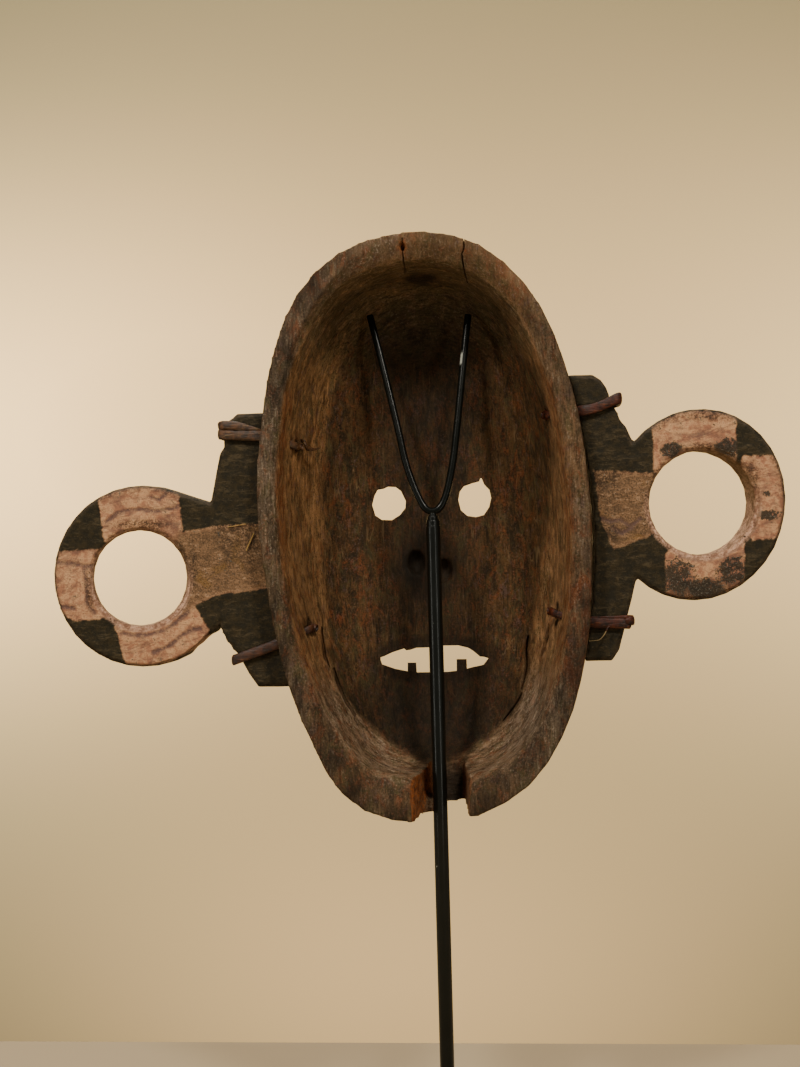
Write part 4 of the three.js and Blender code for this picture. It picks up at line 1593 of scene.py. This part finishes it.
@dataclass
class EarBoard:
    """A plate and ring sawn from one board, with its painted fields.

    Lengths are in millimetres and places are x and z in the mask's frame. A break is its place, how far it stands
    out and how torn it is. A straw is its line and its thickness.
    """

    side: Side
    centre: tuple
    radii: tuple
    turn: float
    hole: tuple
    hole_radius: float
    fields: tuple
    worn_field: tuple
    veins: tuple
    grimes: tuple
    mottles: tuple
    breaks: tuple
    straws: tuple = ()
    lean: float = 0.26
    back: float = 22.0
    voxel: float = 1.15

    def build(self) -> bpy.types.Object:
        """Model the ear from its CAD form.

        Returns:
            The finished piece.
        """
        node = f"ear_{self.side.name.lower()}"
        ear = copy_of(node, f"{node}_wood")
        apply_modifier(ear, "REMESH", mode="VOXEL", voxel_size=self.voxel * MM, use_smooth_shade=True)
        apply_modifier(ear, "SMOOTH", factor=0.5, iterations=2)
        self.wear(ear)
        self.mark(ear)
        self.strew(ear)
        ear.data.materials.append(ear_material())
        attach(ear, "root")
        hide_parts(node)
        return ear

    def wear(self, ear: bpy.types.Object) -> None:
        """Press in facets, chipped arrises, the eased hole and the ragged break."""
        points, normals = points_of(ear)
        edge = edge_wear(normals)
        seed = 100 + self.side.value
        flat = ease(np.abs(normals[:, 1]), 0.6, 0.95)
        swell = 0.5 + 0.5 * soft_noise(points, (30, 9, 4), seed)
        depth = flat * (0.45 * scoops(points, (22, 12, 9), seed) + 0.3 * swell)
        depth += (1 - flat) * 0.35 * scoops(points, (15, 24, 15), seed + 9)
        chips = ease(soft_noise(points, (6, 6, 5), seed + 17), 0.12, 0.5)
        depth += edge * (0.25 + 1.1 * chips)
        x, y, z = points.T
        inner = self.from_hole(points)
        lower = ease(z, self.hole[1] + 12, self.hole[1] - 18)
        depth += (y > -self.back - 6) * ease(inner, 4.2, 0.6) * flat * (0.4 + 1.2 * lower)
        cells = scoops(points, (4.5, 9, 5), seed + 29)
        for place_x, place_z, out, torn in self.breaks:
            rough = ease(np.hypot(x - place_x, z - place_z), 16, 6)
            depth += rough * (1 - flat) * (torn * (1.2 + 2.2 * cells) - out)
        for line in self.veins:
            depth += 0.5 * ease(line_distance(points, line), 1.6, 0.3) * (y > -self.back - 4)
        move_points(ear, points - normals * depth[:, None])

    def from_hole(self, points: np.ndarray) -> np.ndarray:
        """Measure how far points lie outside the slanting hole."""
        x, y, z = points.T
        return np.hypot(x - self.hole[0] - self.lean * (-y - self.back), z - self.hole[1]) - self.hole_radius

    def mark(self, ear: bpy.types.Object) -> None:
        """Keep on the mesh where paint, wear and bare wood are, with the painted light and shade of each hole's lip.
        """
        points, normals = points_of(ear)
        x, _, z = points.T
        turn = math.radians(self.turn)
        across, upward = x - self.centre[0], z - self.centre[1]
        wide = (across * math.cos(turn) + upward * math.sin(turn)) / self.radii[0]
        tall = (upward * math.cos(turn) - across * math.sin(turn)) / self.radii[1]
        ring = (1 - np.hypot(wide, tall)) * min(self.radii)
        inner = self.from_hole(points)
        sheltered = np.minimum(ring - 1.2, inner + 3.0)
        parts = [np.minimum(field_depth(points, list(corners)), sheltered) for corners in self.fields]
        square = field_depth(points, list(self.worn_field))
        depth = np.maximum(np.max(parts, axis=0), square)
        store(ear, "paint", np.clip(depth, -10, 10) / 10)
        store(ear, "fade", np.clip(ease(square, -5, 4) * 0.9 + 0.08, 0, 1))
        wobble = soft_noise(points, (6, 6, 6), 91)
        in_hole = ease(np.abs(normals[:, 1]), 0.9, 0.6) * ease(inner, 6, 3.5)
        below = ease(z, self.hole[1] + 16, self.hole[1] - 14)
        vein = np.zeros(len(points))
        for line in self.veins:
            vein = np.maximum(vein, ease(line_distance(points, line) + 0.9 * wobble, 2.4, 0.6))
        lip = ease(inner + 0.8 * wobble, 4.8, 3.0) * (1 - in_hole)
        # Painted shade: the lip's upper half is darkened with the grime, where it faces down.
        grime_and_shade = np.maximum(self.spots(points, self.grimes), 0.75 * lip * (1 - below))
        rim_grime = ease(ring + wobble, 7.0, 1.5) * ease(z, self.centre[1] - 10, self.centre[1] + 25)
        store(ear, "vein", vein * (1 - in_hole))
        store(ear, "grime_and_shade", np.maximum(grime_and_shade, 0.85 * rim_grime) * (1 - in_hole))
        # Painted light: the lip and the hole's wall are paler only below the hole, where they face up.
        store(ear, "lip", np.maximum(lip * below, in_hole * below * 0.6))
        store(ear, "mottle", self.spots(points, self.mottles))
        store(ear, "bare", in_hole)
        store(ear, "edge", edge_wear(normals) * (1 - in_hole))

    def spots(self, points: np.ndarray, places: tuple) -> np.ndarray:
        """Lay out soft-edged round spots.

        Args:
            points: Points in the mask's frame.
            places: Each spot's x, z and half sizes.

        Returns:
            Shares from 0 to 1.
        """
        x, _, z = points.T
        most = np.zeros(len(points))
        for px, pz, wide, tall in places:
            most = np.maximum(most, ease(np.hypot((x - px) / wide, (z - pz) / tall), 1.45, 0.55))
        return most

    def strew(self, ear: bpy.types.Object) -> None:
        """Lay the loose straws on the board."""
        store(ear, "straw", np.zeros(len(ear.data.vertices)))
        if not self.straws:
            return
        straws = []
        for index, (line, thick) in enumerate(self.straws):
            straw = strand(f"straw_{index}", line, 12, ((0, thick),), 1.0, (0.0, 1.0, 0.0), 6)
            store(straw, "straw", np.ones(len(straw.data.vertices)))
            straws.append(straw)
        join(ear, straws)


EAR_MATERIALS: list[bpy.types.Material] = []


def ear_material() -> bpy.types.Material:
    """The one paint that both ears share."""
    if not EAR_MATERIALS:
        EAR_MATERIALS.append(EarPaint().material())
    return EAR_MATERIALS[0]


LEFT_EAR = EarBoard(
    side=Side.LEFT,
    centre=(202.5, -29.4),
    radii=(64.4, 64.4),
    turn=0.0,
    hole=(203.3, -30.9),
    hole_radius=33.8,
    fields=(
        ((233.5, 40), (175, 40), (172, -2), (181, -12), (202, -20), (229, -4), (232, 20)),
        ((270, -10.5), (222, -9), (206, -30), (222, -58), (252, -60), (270, -50)),
        ((223, -64), (214, -98), (165, -98), (155, -68), (166, -50), (176, -30), (196, -40), (214, -58)),
    ),
    worn_field=(
        (176, 0.5), (150, 4.5), (124, 6), (112, 5.5), (112, -40), (149, -44), (163, -50), (176, -58), (183, -30),
    ),
    veins=(
        ((226.8, 9.6), (219.4, 15.3), (211.1, 17.6), (200.9, 17.8), (192.6, 16.1), (182.3, 17.3), (175.1, 18.7)),
        ((244.2, -22.5), (242.5, -33.6), (242.8, -47.8), (236.8, -55.0)),
        ((262.7, -17.8), (251.4, -19.7), (238.1, -21.6)),
        ((263.6, -49.3), (252.2, -50.6)),
        ((195.3, -83.0), (183.9, -79.2), (174.6, -71.4), (165.2, -67.3), (161.1, -67.1)),
        ((217.6, -69.4), (207.3, -71.2), (197.0, -70.4), (185.6, -67.1), (176.1, -60.3), (169.9, -55.4)),
        ((194.9, 26.3), (189.2, 24.1), (183.4, 28.1)),
    ),
    grimes=((239.9, -37.1, 3.4, 15), (202.7, 7.0, 22, 3.4), (166, -24, 3.0, 16), (122, 2, 12, 5)),
    mottles=(),
    breaks=((143, -73, 4.6, 1.0), (161, -77, -1.8, 0.0)),
    straws=(
        (((127.1, -21.3, -13.2), (121.1, -20.9, -0.9)), 0.8),
        (((139.7, -21.5, 3.7), (126.8, -21.3, 5.5)), 0.5),
    ),
)

RIGHT_EAR = EarBoard(
    side=Side.RIGHT,
    centre=(-185.7, 10.4),
    radii=(59.4, 66.2),
    turn=15.0,
    hole=(-189.8, 11.6),
    hole_radius=35.6,
    fields=(
        ((-156.5, 80), (-213, 80), (-213.5, 40), (-188, 10), (-157, 34)),
        ((-217, 43), (-252, 42), (-252, -13), (-222, -15), (-205, 12)),
        ((-163, -23), (-188, 2), (-217, -17), (-215, -62), (-163, -62)),
    ),
    worn_field=((-116, 36), (-158, 33), (-160.5, -6), (-151, -11), (-128, -19), (-120, 2)),
    veins=(
        ((-173.1, -24.4), (-183.1, -27.0), (-193.9, -25.6)),
        ((-118.2, 3.8), (-126, 0.6), (-133.1, 1.3), (-140, -3), (-146.7, 1.6)),
        ((-128, -4), (-134, -8), (-141, -4)),
    ),
    grimes=(
        (-196.4, 72.2, 18, 5),
        (-222.6, 28, 5, 12),
        (-124, -8, 8, 8),
        (-188, 49.5, 24, 3),
        (-190, -50, 26, 9),
        (-153, 1, 5, 5),
    ),
    mottles=(
        (-169.5, 48.2, 7, 5.5),
        (-207.1, 48.7, 9, 7.0),
        (-232.6, 16.7, 3, 2.2),
        (-234.5, 2.0, 8, 3.4),
        (-171.6, -39.2, 11, 13),
        (-188.7, -47, 14, 7),
        (-207.8, -35, 10, 10),
    ),
    breaks=((-131, 78, 0.0, 1.0),),
)


# The lashings


@dataclass
class Lashing:
    """A strip of split cane round an ear's plate, knotted inside the mask.

    Edge, wall and knot are x and z in the mask's frame. The strands are loose ends and turns of its own, and
    raised is how far the loop's outer end rides up.
    """

    name: str
    side: Side
    edge: tuple
    wall: tuple
    knot: tuple
    skin: CaneSkin
    strands: tuple = ()
    pale_tuft: bool = False
    raised: float = 0.0
    width: float = 8.3
    thickness: float = 3.3
    plate_back: float = 22.0
    plate_thickness: float = 22.0

    def route(self) -> np.ndarray:
        """Repeat the cane's route from its named sizes.

        Returns:
            Points of the route in the mask's frame.
        """
        s = self.side.value
        clear = 1.6 + 2 * GAP
        back = -self.plate_back + clear
        front = -self.plate_back - self.plate_thickness - clear
        (edge_x, edge_z), (wall_x, wall_z), (knot_x, knot_z) = self.edge, self.wall, self.knot
        slope = (edge_z - wall_z) / (edge_x - wall_x)
        out = edge_x + s * (clear + GAP)
        corner = s * 2

        def rest(x: float, y: float) -> tuple[float, float, float]:
            """A point on the plate's face at x."""
            return (x, y, wall_z + (x - wall_x) * slope)

        turn = knot_z + (wall_z - knot_z) * 0.4
        return smooth_line(
            [
                (knot_x - s * 1, -35, knot_z),
                (knot_x + s * 1, -30, knot_z),
                (knot_x + s * 8, -25, turn),
                (wall_x, back, wall_z),
                rest(edge_x - s * 12, back),
                rest(edge_x - corner, back),
                rest(out - corner / 4, back - 1.2),
                rest(out, back - 4),
                rest(out, front + 4),
                rest(out - corner / 4, front + 1.2),
                rest(edge_x - corner, front),
                rest(edge_x - s * 12, front),
                (wall_x - s * 1.5, front, wall_z),
                (knot_x + s * 7, -43.5, turn),
                (knot_x, -40, knot_z),
                (knot_x - s * 1, -36, knot_z),
            ],
            170,
        )

    def build(self) -> bpy.types.Object:
        """Model the lashing.

        Returns:
            The finished piece.
        """
        line = self.route()
        seed = sum(map(ord, self.name))
        wander = soft_noise(line, (9, 9, 9), seed, 2)
        near_wall = abs(self.wall[0])
        narrowed = np.interp(np.abs(line[:, 0]), [near_wall - 8, near_wall + 2], [0.72, 1.0])
        wide = self.width * (0.96 + 0.08 * wander) * narrowed
        thick = self.thickness * (0.97 + 0.08 * soft_noise(line, (6, 6, 6), seed + 5, 2))
        strip = band(f"{self.name}_cane", line, wide, thick, (0.0, 0.0, 1.0), 20)
        join(strip, [self.knot_turn(seed), *(strand(*row) for row in self.strands)])
        apply_modifier(strip, "SUBSURF", levels=1, render_levels=1)
        self.fray(strip, seed)
        smooth_shading(strip)
        strip.data.materials.append(self.skin.material())
        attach(strip, "root")
        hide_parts(self.name)
        return strip

    def knot_turn(self, seed: int) -> bpy.types.Object:
        """Wind the knot inside the wall.

        Args:
            seed: Which unevenness to use.

        Returns:
            The knot's strip.
        """
        s = self.side.value
        x, z = self.knot[0] - s * 0.6, self.knot[1]
        turns = np.linspace(0, 2.3 * 2 * math.pi, 90)
        radius = 2.7 + 0.7 * np.sin(turns * 0.7 + seed)
        line = np.stack(
            [
                x + s * 1.8 * np.cos(turns * 0.45 + seed),
                -36.5 + radius * 1.1 * np.cos(turns),
                z + radius * np.sin(turns) * 0.95,
            ],
            axis=1,
        )
        size = np.linspace(3.6, 1.6, len(line))
        return band(f"{self.name}_knot", line, size, size * 0.5, (1.0, 0.1, 0.35), 10)

    def fray(self, strip: bpy.types.Object, seed: int) -> None:
        """Press the fibres' furrows into the cane."""
        points, normals = points_of(strip)
        furrow = 0.5 + 0.5 * soft_noise(points, (26, 1.6, 1.6), seed + 3, 2)
        lump = 0.5 + 0.5 * soft_noise(points, (7, 6, 6), seed + 8, 2)
        move_points(strip, points - normals * (0.22 * furrow + 0.3 * lump)[:, None])
        x, y, z = points.T
        if self.raised:
            points[:, 2] += self.raised * ease(x, -112, -136) ** 1.5
            sunk = 0.22 * furrow + 0.3 * lump - 0.5 * ease(x, -124, -134)
            move_points(strip, points - normals * sunk[:, None])
        store(strip, "pale", self.pale_tuft * (z < -74.2) * (y > -18.5))


RED_CANE = CaneSkin("red_cane", "180904", "421907", "6a3612", shine=0.28, matt=0.26)
GREY_CANE = CaneSkin("grey_cane", "231509", "523319", "7d6038")
BROWN_CANE = CaneSkin("brown_cane", "1b0c05", "40200c", "5f3a1e")
LEFT_UPPER_STRANDS = (
    (
        "second_turn",
        (
            (142.6, -30, 72.6), (144.4, -24, 73.6), (142.6, -19.4, 74.9), (137.4, -18.2, 74.9), (129, -18.4, 73.8),
            (122, -19.0, 72.2), (114, -19.8, 70.6),
        ),
        60, ((0, 4.0), (20, 7.0), (34, 6.6), (50, 4.2), (59, 2.2)), 0.42, (0.2, 0.0, 1.0), 12,
    ),
    (
        "torn_end",
        ((89.5, -41, 64), (86.6, -39, 62.5), (85.2, -42, 58.5), (81.5, -46, 57.5), (77, -52, 58.8)),
        40, ((0, 3.0), (12, 5.4), (24, 3.4), (39, 0.9)), 0.6, (0.3, 0.2, 1.0), 10,
    ),
)
RIGHT_LOWER_STRANDS = (
    (
        "fibre",
        (
            (-124, -16.6, -70.5), (-122.3, -15.8, -72.6), (-120.2, -15.4, -76.6), (-116.7, -15.6, -80),
            (-109.5, -16.4, -80.8),
        ),
        40, ((0, 1.8), (39, 1.2)), 0.8, (0.0, 1.0, 0.0), 8,
    ),
    (
        "strand",
        (
            (-106, -20.4, -65.0), (-118, -19.4, -65.0), (-130, -19.4, -65.0), (-137.6, -20.6, -65.2), (-139, -26, -66),
            (-137.8, -31, -67),
        ),
        50, ((0, 2.0), (30, 2.6), (40, 4.0), (49, 3.0)), 0.8, (0.0, 0.0, 1.0), 8,
    ),
    (
        "knob",
        ((-134.5, -18.8, -68.4), (-138.2, -19.6, -67.4), (-140.0, -23.5, -68), (-138.6, -28, -69)),
        24, ((0, 4.0), (10, 8.2), (23, 5.0)), 0.5, (0.0, 0.0, 1.0), 10,
    ),
)
LASHINGS = (
    Lashing(
        "lashing_left_upper", Side.LEFT, (141.6, 68.7), (112.6, 66.3), (90.4, 59.5), GREY_CANE, LEFT_UPPER_STRANDS
    ),
    Lashing("lashing_left_lower", Side.LEFT, (135.8, -89), (104.8, -78.3), (83.6, -69.4), BROWN_CANE),
    Lashing("lashing_right_upper", Side.RIGHT, (-132.4, 80.2), (-106.6, 76.5), (-84.4, 75.6), RED_CANE, raised=4.2),
    Lashing(
        "lashing_right_lower",
        Side.RIGHT,
        (-135.2, -69.6),
        (-111, -68.2),
        (-84.6, -61.2),
        RED_CANE,
        RIGHT_LOWER_STRANDS,
        pale_tuft=True,
    ),
)


# The stand


@dataclass
class Stand:
    """Foot, upright rod and bent fork, painted black."""

    foot: tuple = (220.0, 170.0, 8.0)
    rod_diameter: float = 10.0
    rod_y: float = 22.0
    rod_top: float = 448.4
    foot_arris: float = 1.4
    rod_arris: float = 1.0
    neck: tuple = ((3.6, 0.94), (3.0, 0.83), (2.0, 0.7))
    fork_diameter: float = 5.0
    fork_route: tuple = (
        (40, -61.4, 153.2),
        (29.5, -51.5, 110.7),
        (19.8, -41.6, 69.1),
        (13.9, -35.6, 43.2),
        (5.2, -30.2, 20),
        (0.2, -28.5, 12.3),
        (-4.1, -28, 10.9),
        (-8.4, -28.6, 12.5),
        (-12.9, -30.5, 20.4),
        (-18.6, -36.1, 45.5),
        (-21.5, -41.3, 67.8),
        (-27, -53.2, 118),
        (-30.7, -61, 151),
    )

    def build(self) -> list[bpy.types.Object]:
        """Model the three steel pieces.

        Returns:
            Foot, rod and fork.
        """
        satin = StandPaint("satin_black_steel").material()
        dull = StandPaint("dull_black_steel", shine=0.11).material()
        made = []
        paints = {"stand_base": satin, "stand_rod": satin, "stand_fork": dull}
        for (node, paint), piece in zip(paints.items(), (self.base(), self.rod(), self.fork())):
            piece.data.materials.clear()
            piece.data.materials.append(paint)
            pick_only(piece)
            bpy.ops.object.shade_smooth_by_angle(angle=math.radians(35))
            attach(piece, "root")
            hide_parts(node)
            made.append(piece)
        return made

    def base(self) -> bpy.types.Object:
        """Model the foot: a flat plate with eased edges.

        Returns:
            The foot.
        """
        wide, deep, thick = (size * MM for size in self.foot)
        pick_nothing()
        bpy.ops.mesh.primitive_cube_add(size=1, location=(0, 0, thick / 2), scale=(wide, deep, thick))
        plate = bpy.context.active_object
        plate.name = "stand_foot_plate"
        bpy.ops.object.transform_apply(location=True, rotation=True, scale=True)
        apply_modifier(plate, "BEVEL", width=self.foot_arris * MM, segments=3, limit_method="ANGLE")
        return plate

    def rod(self) -> bpy.types.Object:
        """Model the upright and the stepped neck of its weld.

        Returns:
            The rod.
        """
        bottom = (self.foot[2] + GAP) * MM
        top = self.rod_top * MM
        radius = self.rod_diameter / 2 * MM
        pick_nothing()
        bpy.ops.mesh.primitive_cylinder_add(
            vertices=48,
            radius=radius,
            depth=top - bottom,
            location=(0, self.rod_y * MM, (top + bottom) / 2),
            end_fill_type="NGON",
        )
        rod = bpy.context.active_object
        rod.name = "stand_upright"
        bpy.ops.object.transform_apply(location=True, rotation=True, scale=True)
        for polygon in rod.data.polygons:
            polygon.select = polygon.center[2] > top - MM
        bpy.ops.object.mode_set(mode="EDIT")
        bpy.ops.mesh.select_mode(type="FACE")
        for rise, share in self.neck:  # each step's height in millimetres and its width as a share of the last
            bpy.ops.mesh.extrude_region_move(TRANSFORM_OT_translate={"value": (0, 0, rise * MM)})
            bpy.ops.transform.resize(value=(share, share, 1), center_override=(0, self.rod_y * MM, top))
        bpy.ops.object.mode_set(mode="OBJECT")
        apply_modifier(rod, "BEVEL", width=self.rod_arris * MM, segments=3, limit_method="ANGLE")
        return rod

    def fork(self) -> bpy.types.Object:
        """Model the fork: one round rod along its route.

        Returns:
            The fork.
        """
        fork = strand("stand_prongs", self.fork_route, 150, ((0, self.fork_diameter),), 1.0, (0.0, 1.0, 0.1), 20)
        points, normals = points_of(fork)
        x, _, z = points.T
        near = ease(normals[:, 0] + 0.25 * normals[:, 1], 0.35, 0.6)
        chip = (x < 0) * ease(np.abs(z - 119.5), 4.6, 3.4) * near * ease(soft_noise(points, (3, 3, 5), 5), -0.4, -0.1)
        store(fork, "chip", chip)
        return fork


# Floor, wall, lights and camera


@dataclass
class Studio:
    """A pale table top in front of a plain wall, soft lights, and the photograph's camera.

    Lengths are in metres, the camera's focal length in millimetres and its turns in degrees. The floor's size is
    its front edge, thickness and width. A pool is its middle, half sizes and strength.
    """

    camera_place: tuple = (-0.085, 1.1465, 0.443)
    yaw: float = 5.5
    roll: float = -1.5
    focal: float = 54.59
    floor_back: float = -0.257
    floor_size: tuple = (1.6, 0.04, 3.2)
    wall_y: float = -2.4
    wash: tuple = (42.0, 26.0, 36.0)
    wall_tones: tuple = ("7f7557", "e7c48b")
    pools: tuple = ((0.91, 0.68, 0.78, 0.57, 0.9), (-0.3, 0.65, 1.13, 0.76, 0.67), (0.26, -0.64, 0.81, 0.5, 0.98))

    def build(self) -> None:
        """Set up everything round the object."""
        self.floor()
        self.wall()
        self.lights()
        self.camera()

    def plain(self, name: str, low: str, high: str) -> bpy.types.Material:
        """A matt paint with the faintest clouding.

        Args:
            name: The material's name.
            low: The darker tone.
            high: The lighter tone.

        Returns:
            The material.
        """
        board = Board(name, 0.2)
        cloud = board.noise(board.place, 2.2, 3, 0.5)
        colour = board.tones(board.rise(cloud, 0.3, 0.7), low, high)
        grit = board.noise(board.place, 900, 2, 0.5)
        return board.finish(colour, 0.85, board.relief(grit, 0.04))

    def floor(self) -> None:
        """Lay the table top that the stand's foot rests on."""
        pick_nothing()
        back, front, thick, wide = self.floor_back, *self.floor_size
        bpy.ops.mesh.primitive_cube_add(
            size=1, location=(0, (back + front) / 2, -thick / 2), scale=(wide, front - back, thick)
        )
        top = bpy.context.active_object
        top.name = "table_top"
        bpy.ops.object.transform_apply(location=True, rotation=True, scale=True)
        apply_modifier(top, "BEVEL", width=0.004, segments=3, limit_method="ANGLE")
        top.data.materials.append(self.plain("table_paint", "9d8c70", "a29176"))

    def wall(self) -> None:
        """Stand the wall behind."""
        pick_nothing()
        bpy.ops.mesh.primitive_plane_add(size=9, location=(0, self.wall_y, 0.6), rotation=(math.pi / 2, 0, math.pi))
        wall = bpy.context.active_object
        wall.name = "wall"
        bpy.ops.object.transform_apply(location=True, rotation=True, scale=True)
        wall.data.materials.append(self.wall_paint())

    def wall_paint(self) -> bpy.types.Material:
        """A matt warm paint, palest where the lamps pool on the wall.

        Returns:
            The material.
        """
        board = Board("wall_paint", 0.2)
        split = board.split()
        total: object = 0.0
        for x, z, wide, tall, strength in self.pools:
            across, upward = (
                board.calc("POWER", board.calc("DIVIDE", board.minus(split.outputs[axis], middle), reach), 2)
                for axis, middle, reach in (("X", x, wide), ("Z", z, tall))
            )
            fall = board.calc("POWER", 1 / math.e, board.plus(across, upward))
            total = board.plus(total, board.times(fall, strength))
        grit = board.noise(board.place, 500, 2, 0.5)
        return board.finish(board.tones(total, *self.wall_tones), 0.85, board.relief(grit, 0.04))

    def area(self, name: str, place: tuple, aim: tuple, size: tuple, power: float, colour: tuple) -> None:
        """Hang one soft light.

        Args:
            name: The light's name.
            place: Where it hangs.
            aim: Where it points.
            size: Its width and height.
            power: Its power in watts.
            colour: Its colour.
        """
        data = bpy.data.lights.new(name, "AREA")
        data.shape = "RECTANGLE"
        data.size, data.size_y = size
        data.energy = power
        data.color = colour
        light = bpy.data.objects.new(name, data)
        light.location = place
        light.rotation_euler = (Vector(aim) - Vector(place)).to_track_quat("-Z", "Y").to_euler()
        bpy.context.scene.collection.objects.link(light)

    def lights(self) -> None:
        """Two lamps above the camera's sides, two tall strips, a wash on the wall and a soft one for the face."""
        warm, pale = (1.0, 0.93, 0.82), (1.0, 0.98, 0.87)
        heart = (0.0, 0.05, 0.44)
        middle = (0.0, 0.0, 0.46)
        tall = (0.11, 0.98)
        self.area("lamp_right", (-0.8, 1.7, 2.2), heart, (0.3, 0.3), 40, warm)
        self.area("lamp_left", (0.75, 1.75, 2.2), heart, (0.3, 0.3), 42, warm)
        self.area("wall_left", (1.75, -1.5, 0.62), (1.3, self.wall_y, 0.55), (0.5, 0.7), self.wash[0], warm)
        self.area("wall_right", (-1.25, -1.5, 0.55), (-0.85, self.wall_y, 0.5), (0.5, 0.7), self.wash[1], warm)
        self.area("wall_wash", (0.4, -0.5, 2.4), (0.3, self.wall_y, -0.2), (2.4, 0.6), self.wash[2], warm)
        self.area("strip_left", (1.4, 1.08, 0.5), middle, tall, 3.8, pale)
        self.area("strip_right", (-1.1, 1.48, 0.5), middle, tall, 3.8, pale)
        self.area("face_fill", (0.6, -1.9, 2.6), (0.0, 0.0, 0.4), (1.4, 1.0), 26, warm)
        world = bpy.data.worlds.new("room")
        world.use_nodes = True
        background = world.node_tree.nodes["Background"]
        background.inputs["Color"].default_value = (*warm, 1)
        background.inputs["Strength"].default_value = 0.28
        bpy.context.scene.world = world

    def camera(self) -> None:
        """Place the photograph's camera."""
        data = bpy.data.cameras.new("photo_camera")
        data.lens = self.focal
        data.sensor_width = 36.0
        camera = bpy.data.objects.new("photo_camera", data)
        yaw, roll = math.radians(self.yaw), math.radians(self.roll)
        ahead = Vector((math.sin(yaw), -math.cos(yaw), 0))
        right = ahead.cross(Vector((0, 0, 1))).normalized()
        up = right.cross(ahead)
        turned_right = right * math.cos(roll) + up * math.sin(roll)
        turned_up = up * math.cos(roll) - right * math.sin(roll)
        axes = Matrix((turned_right, turned_up, -ahead)).transposed().to_4x4()
        camera.matrix_world = Matrix.Translation(self.camera_place) @ axes
        bpy.context.scene.collection.objects.link(camera)
        bpy.context.scene.camera = camera


def report(piece: bpy.types.Object) -> None:
    """Log a piece's triangle count."""
    triangles = sum(len(polygon.vertices) - 2 for polygon in piece.data.polygons)
    LOG.info("%s: %d triangles", piece.name, triangles)


def main() -> None:
    """Build every piece in order."""
    logging.basicConfig(level=logging.INFO, format="%(message)s", stream=sys.stdout)
    report(MaskBody().build())
    for ear in (LEFT_EAR, RIGHT_EAR):
        report(ear.build())
    for lashing in LASHINGS:
        report(lashing.build())
    for piece in Stand().build():
        report(piece)
    Studio().build()


if __name__ == "__main__":
    main()
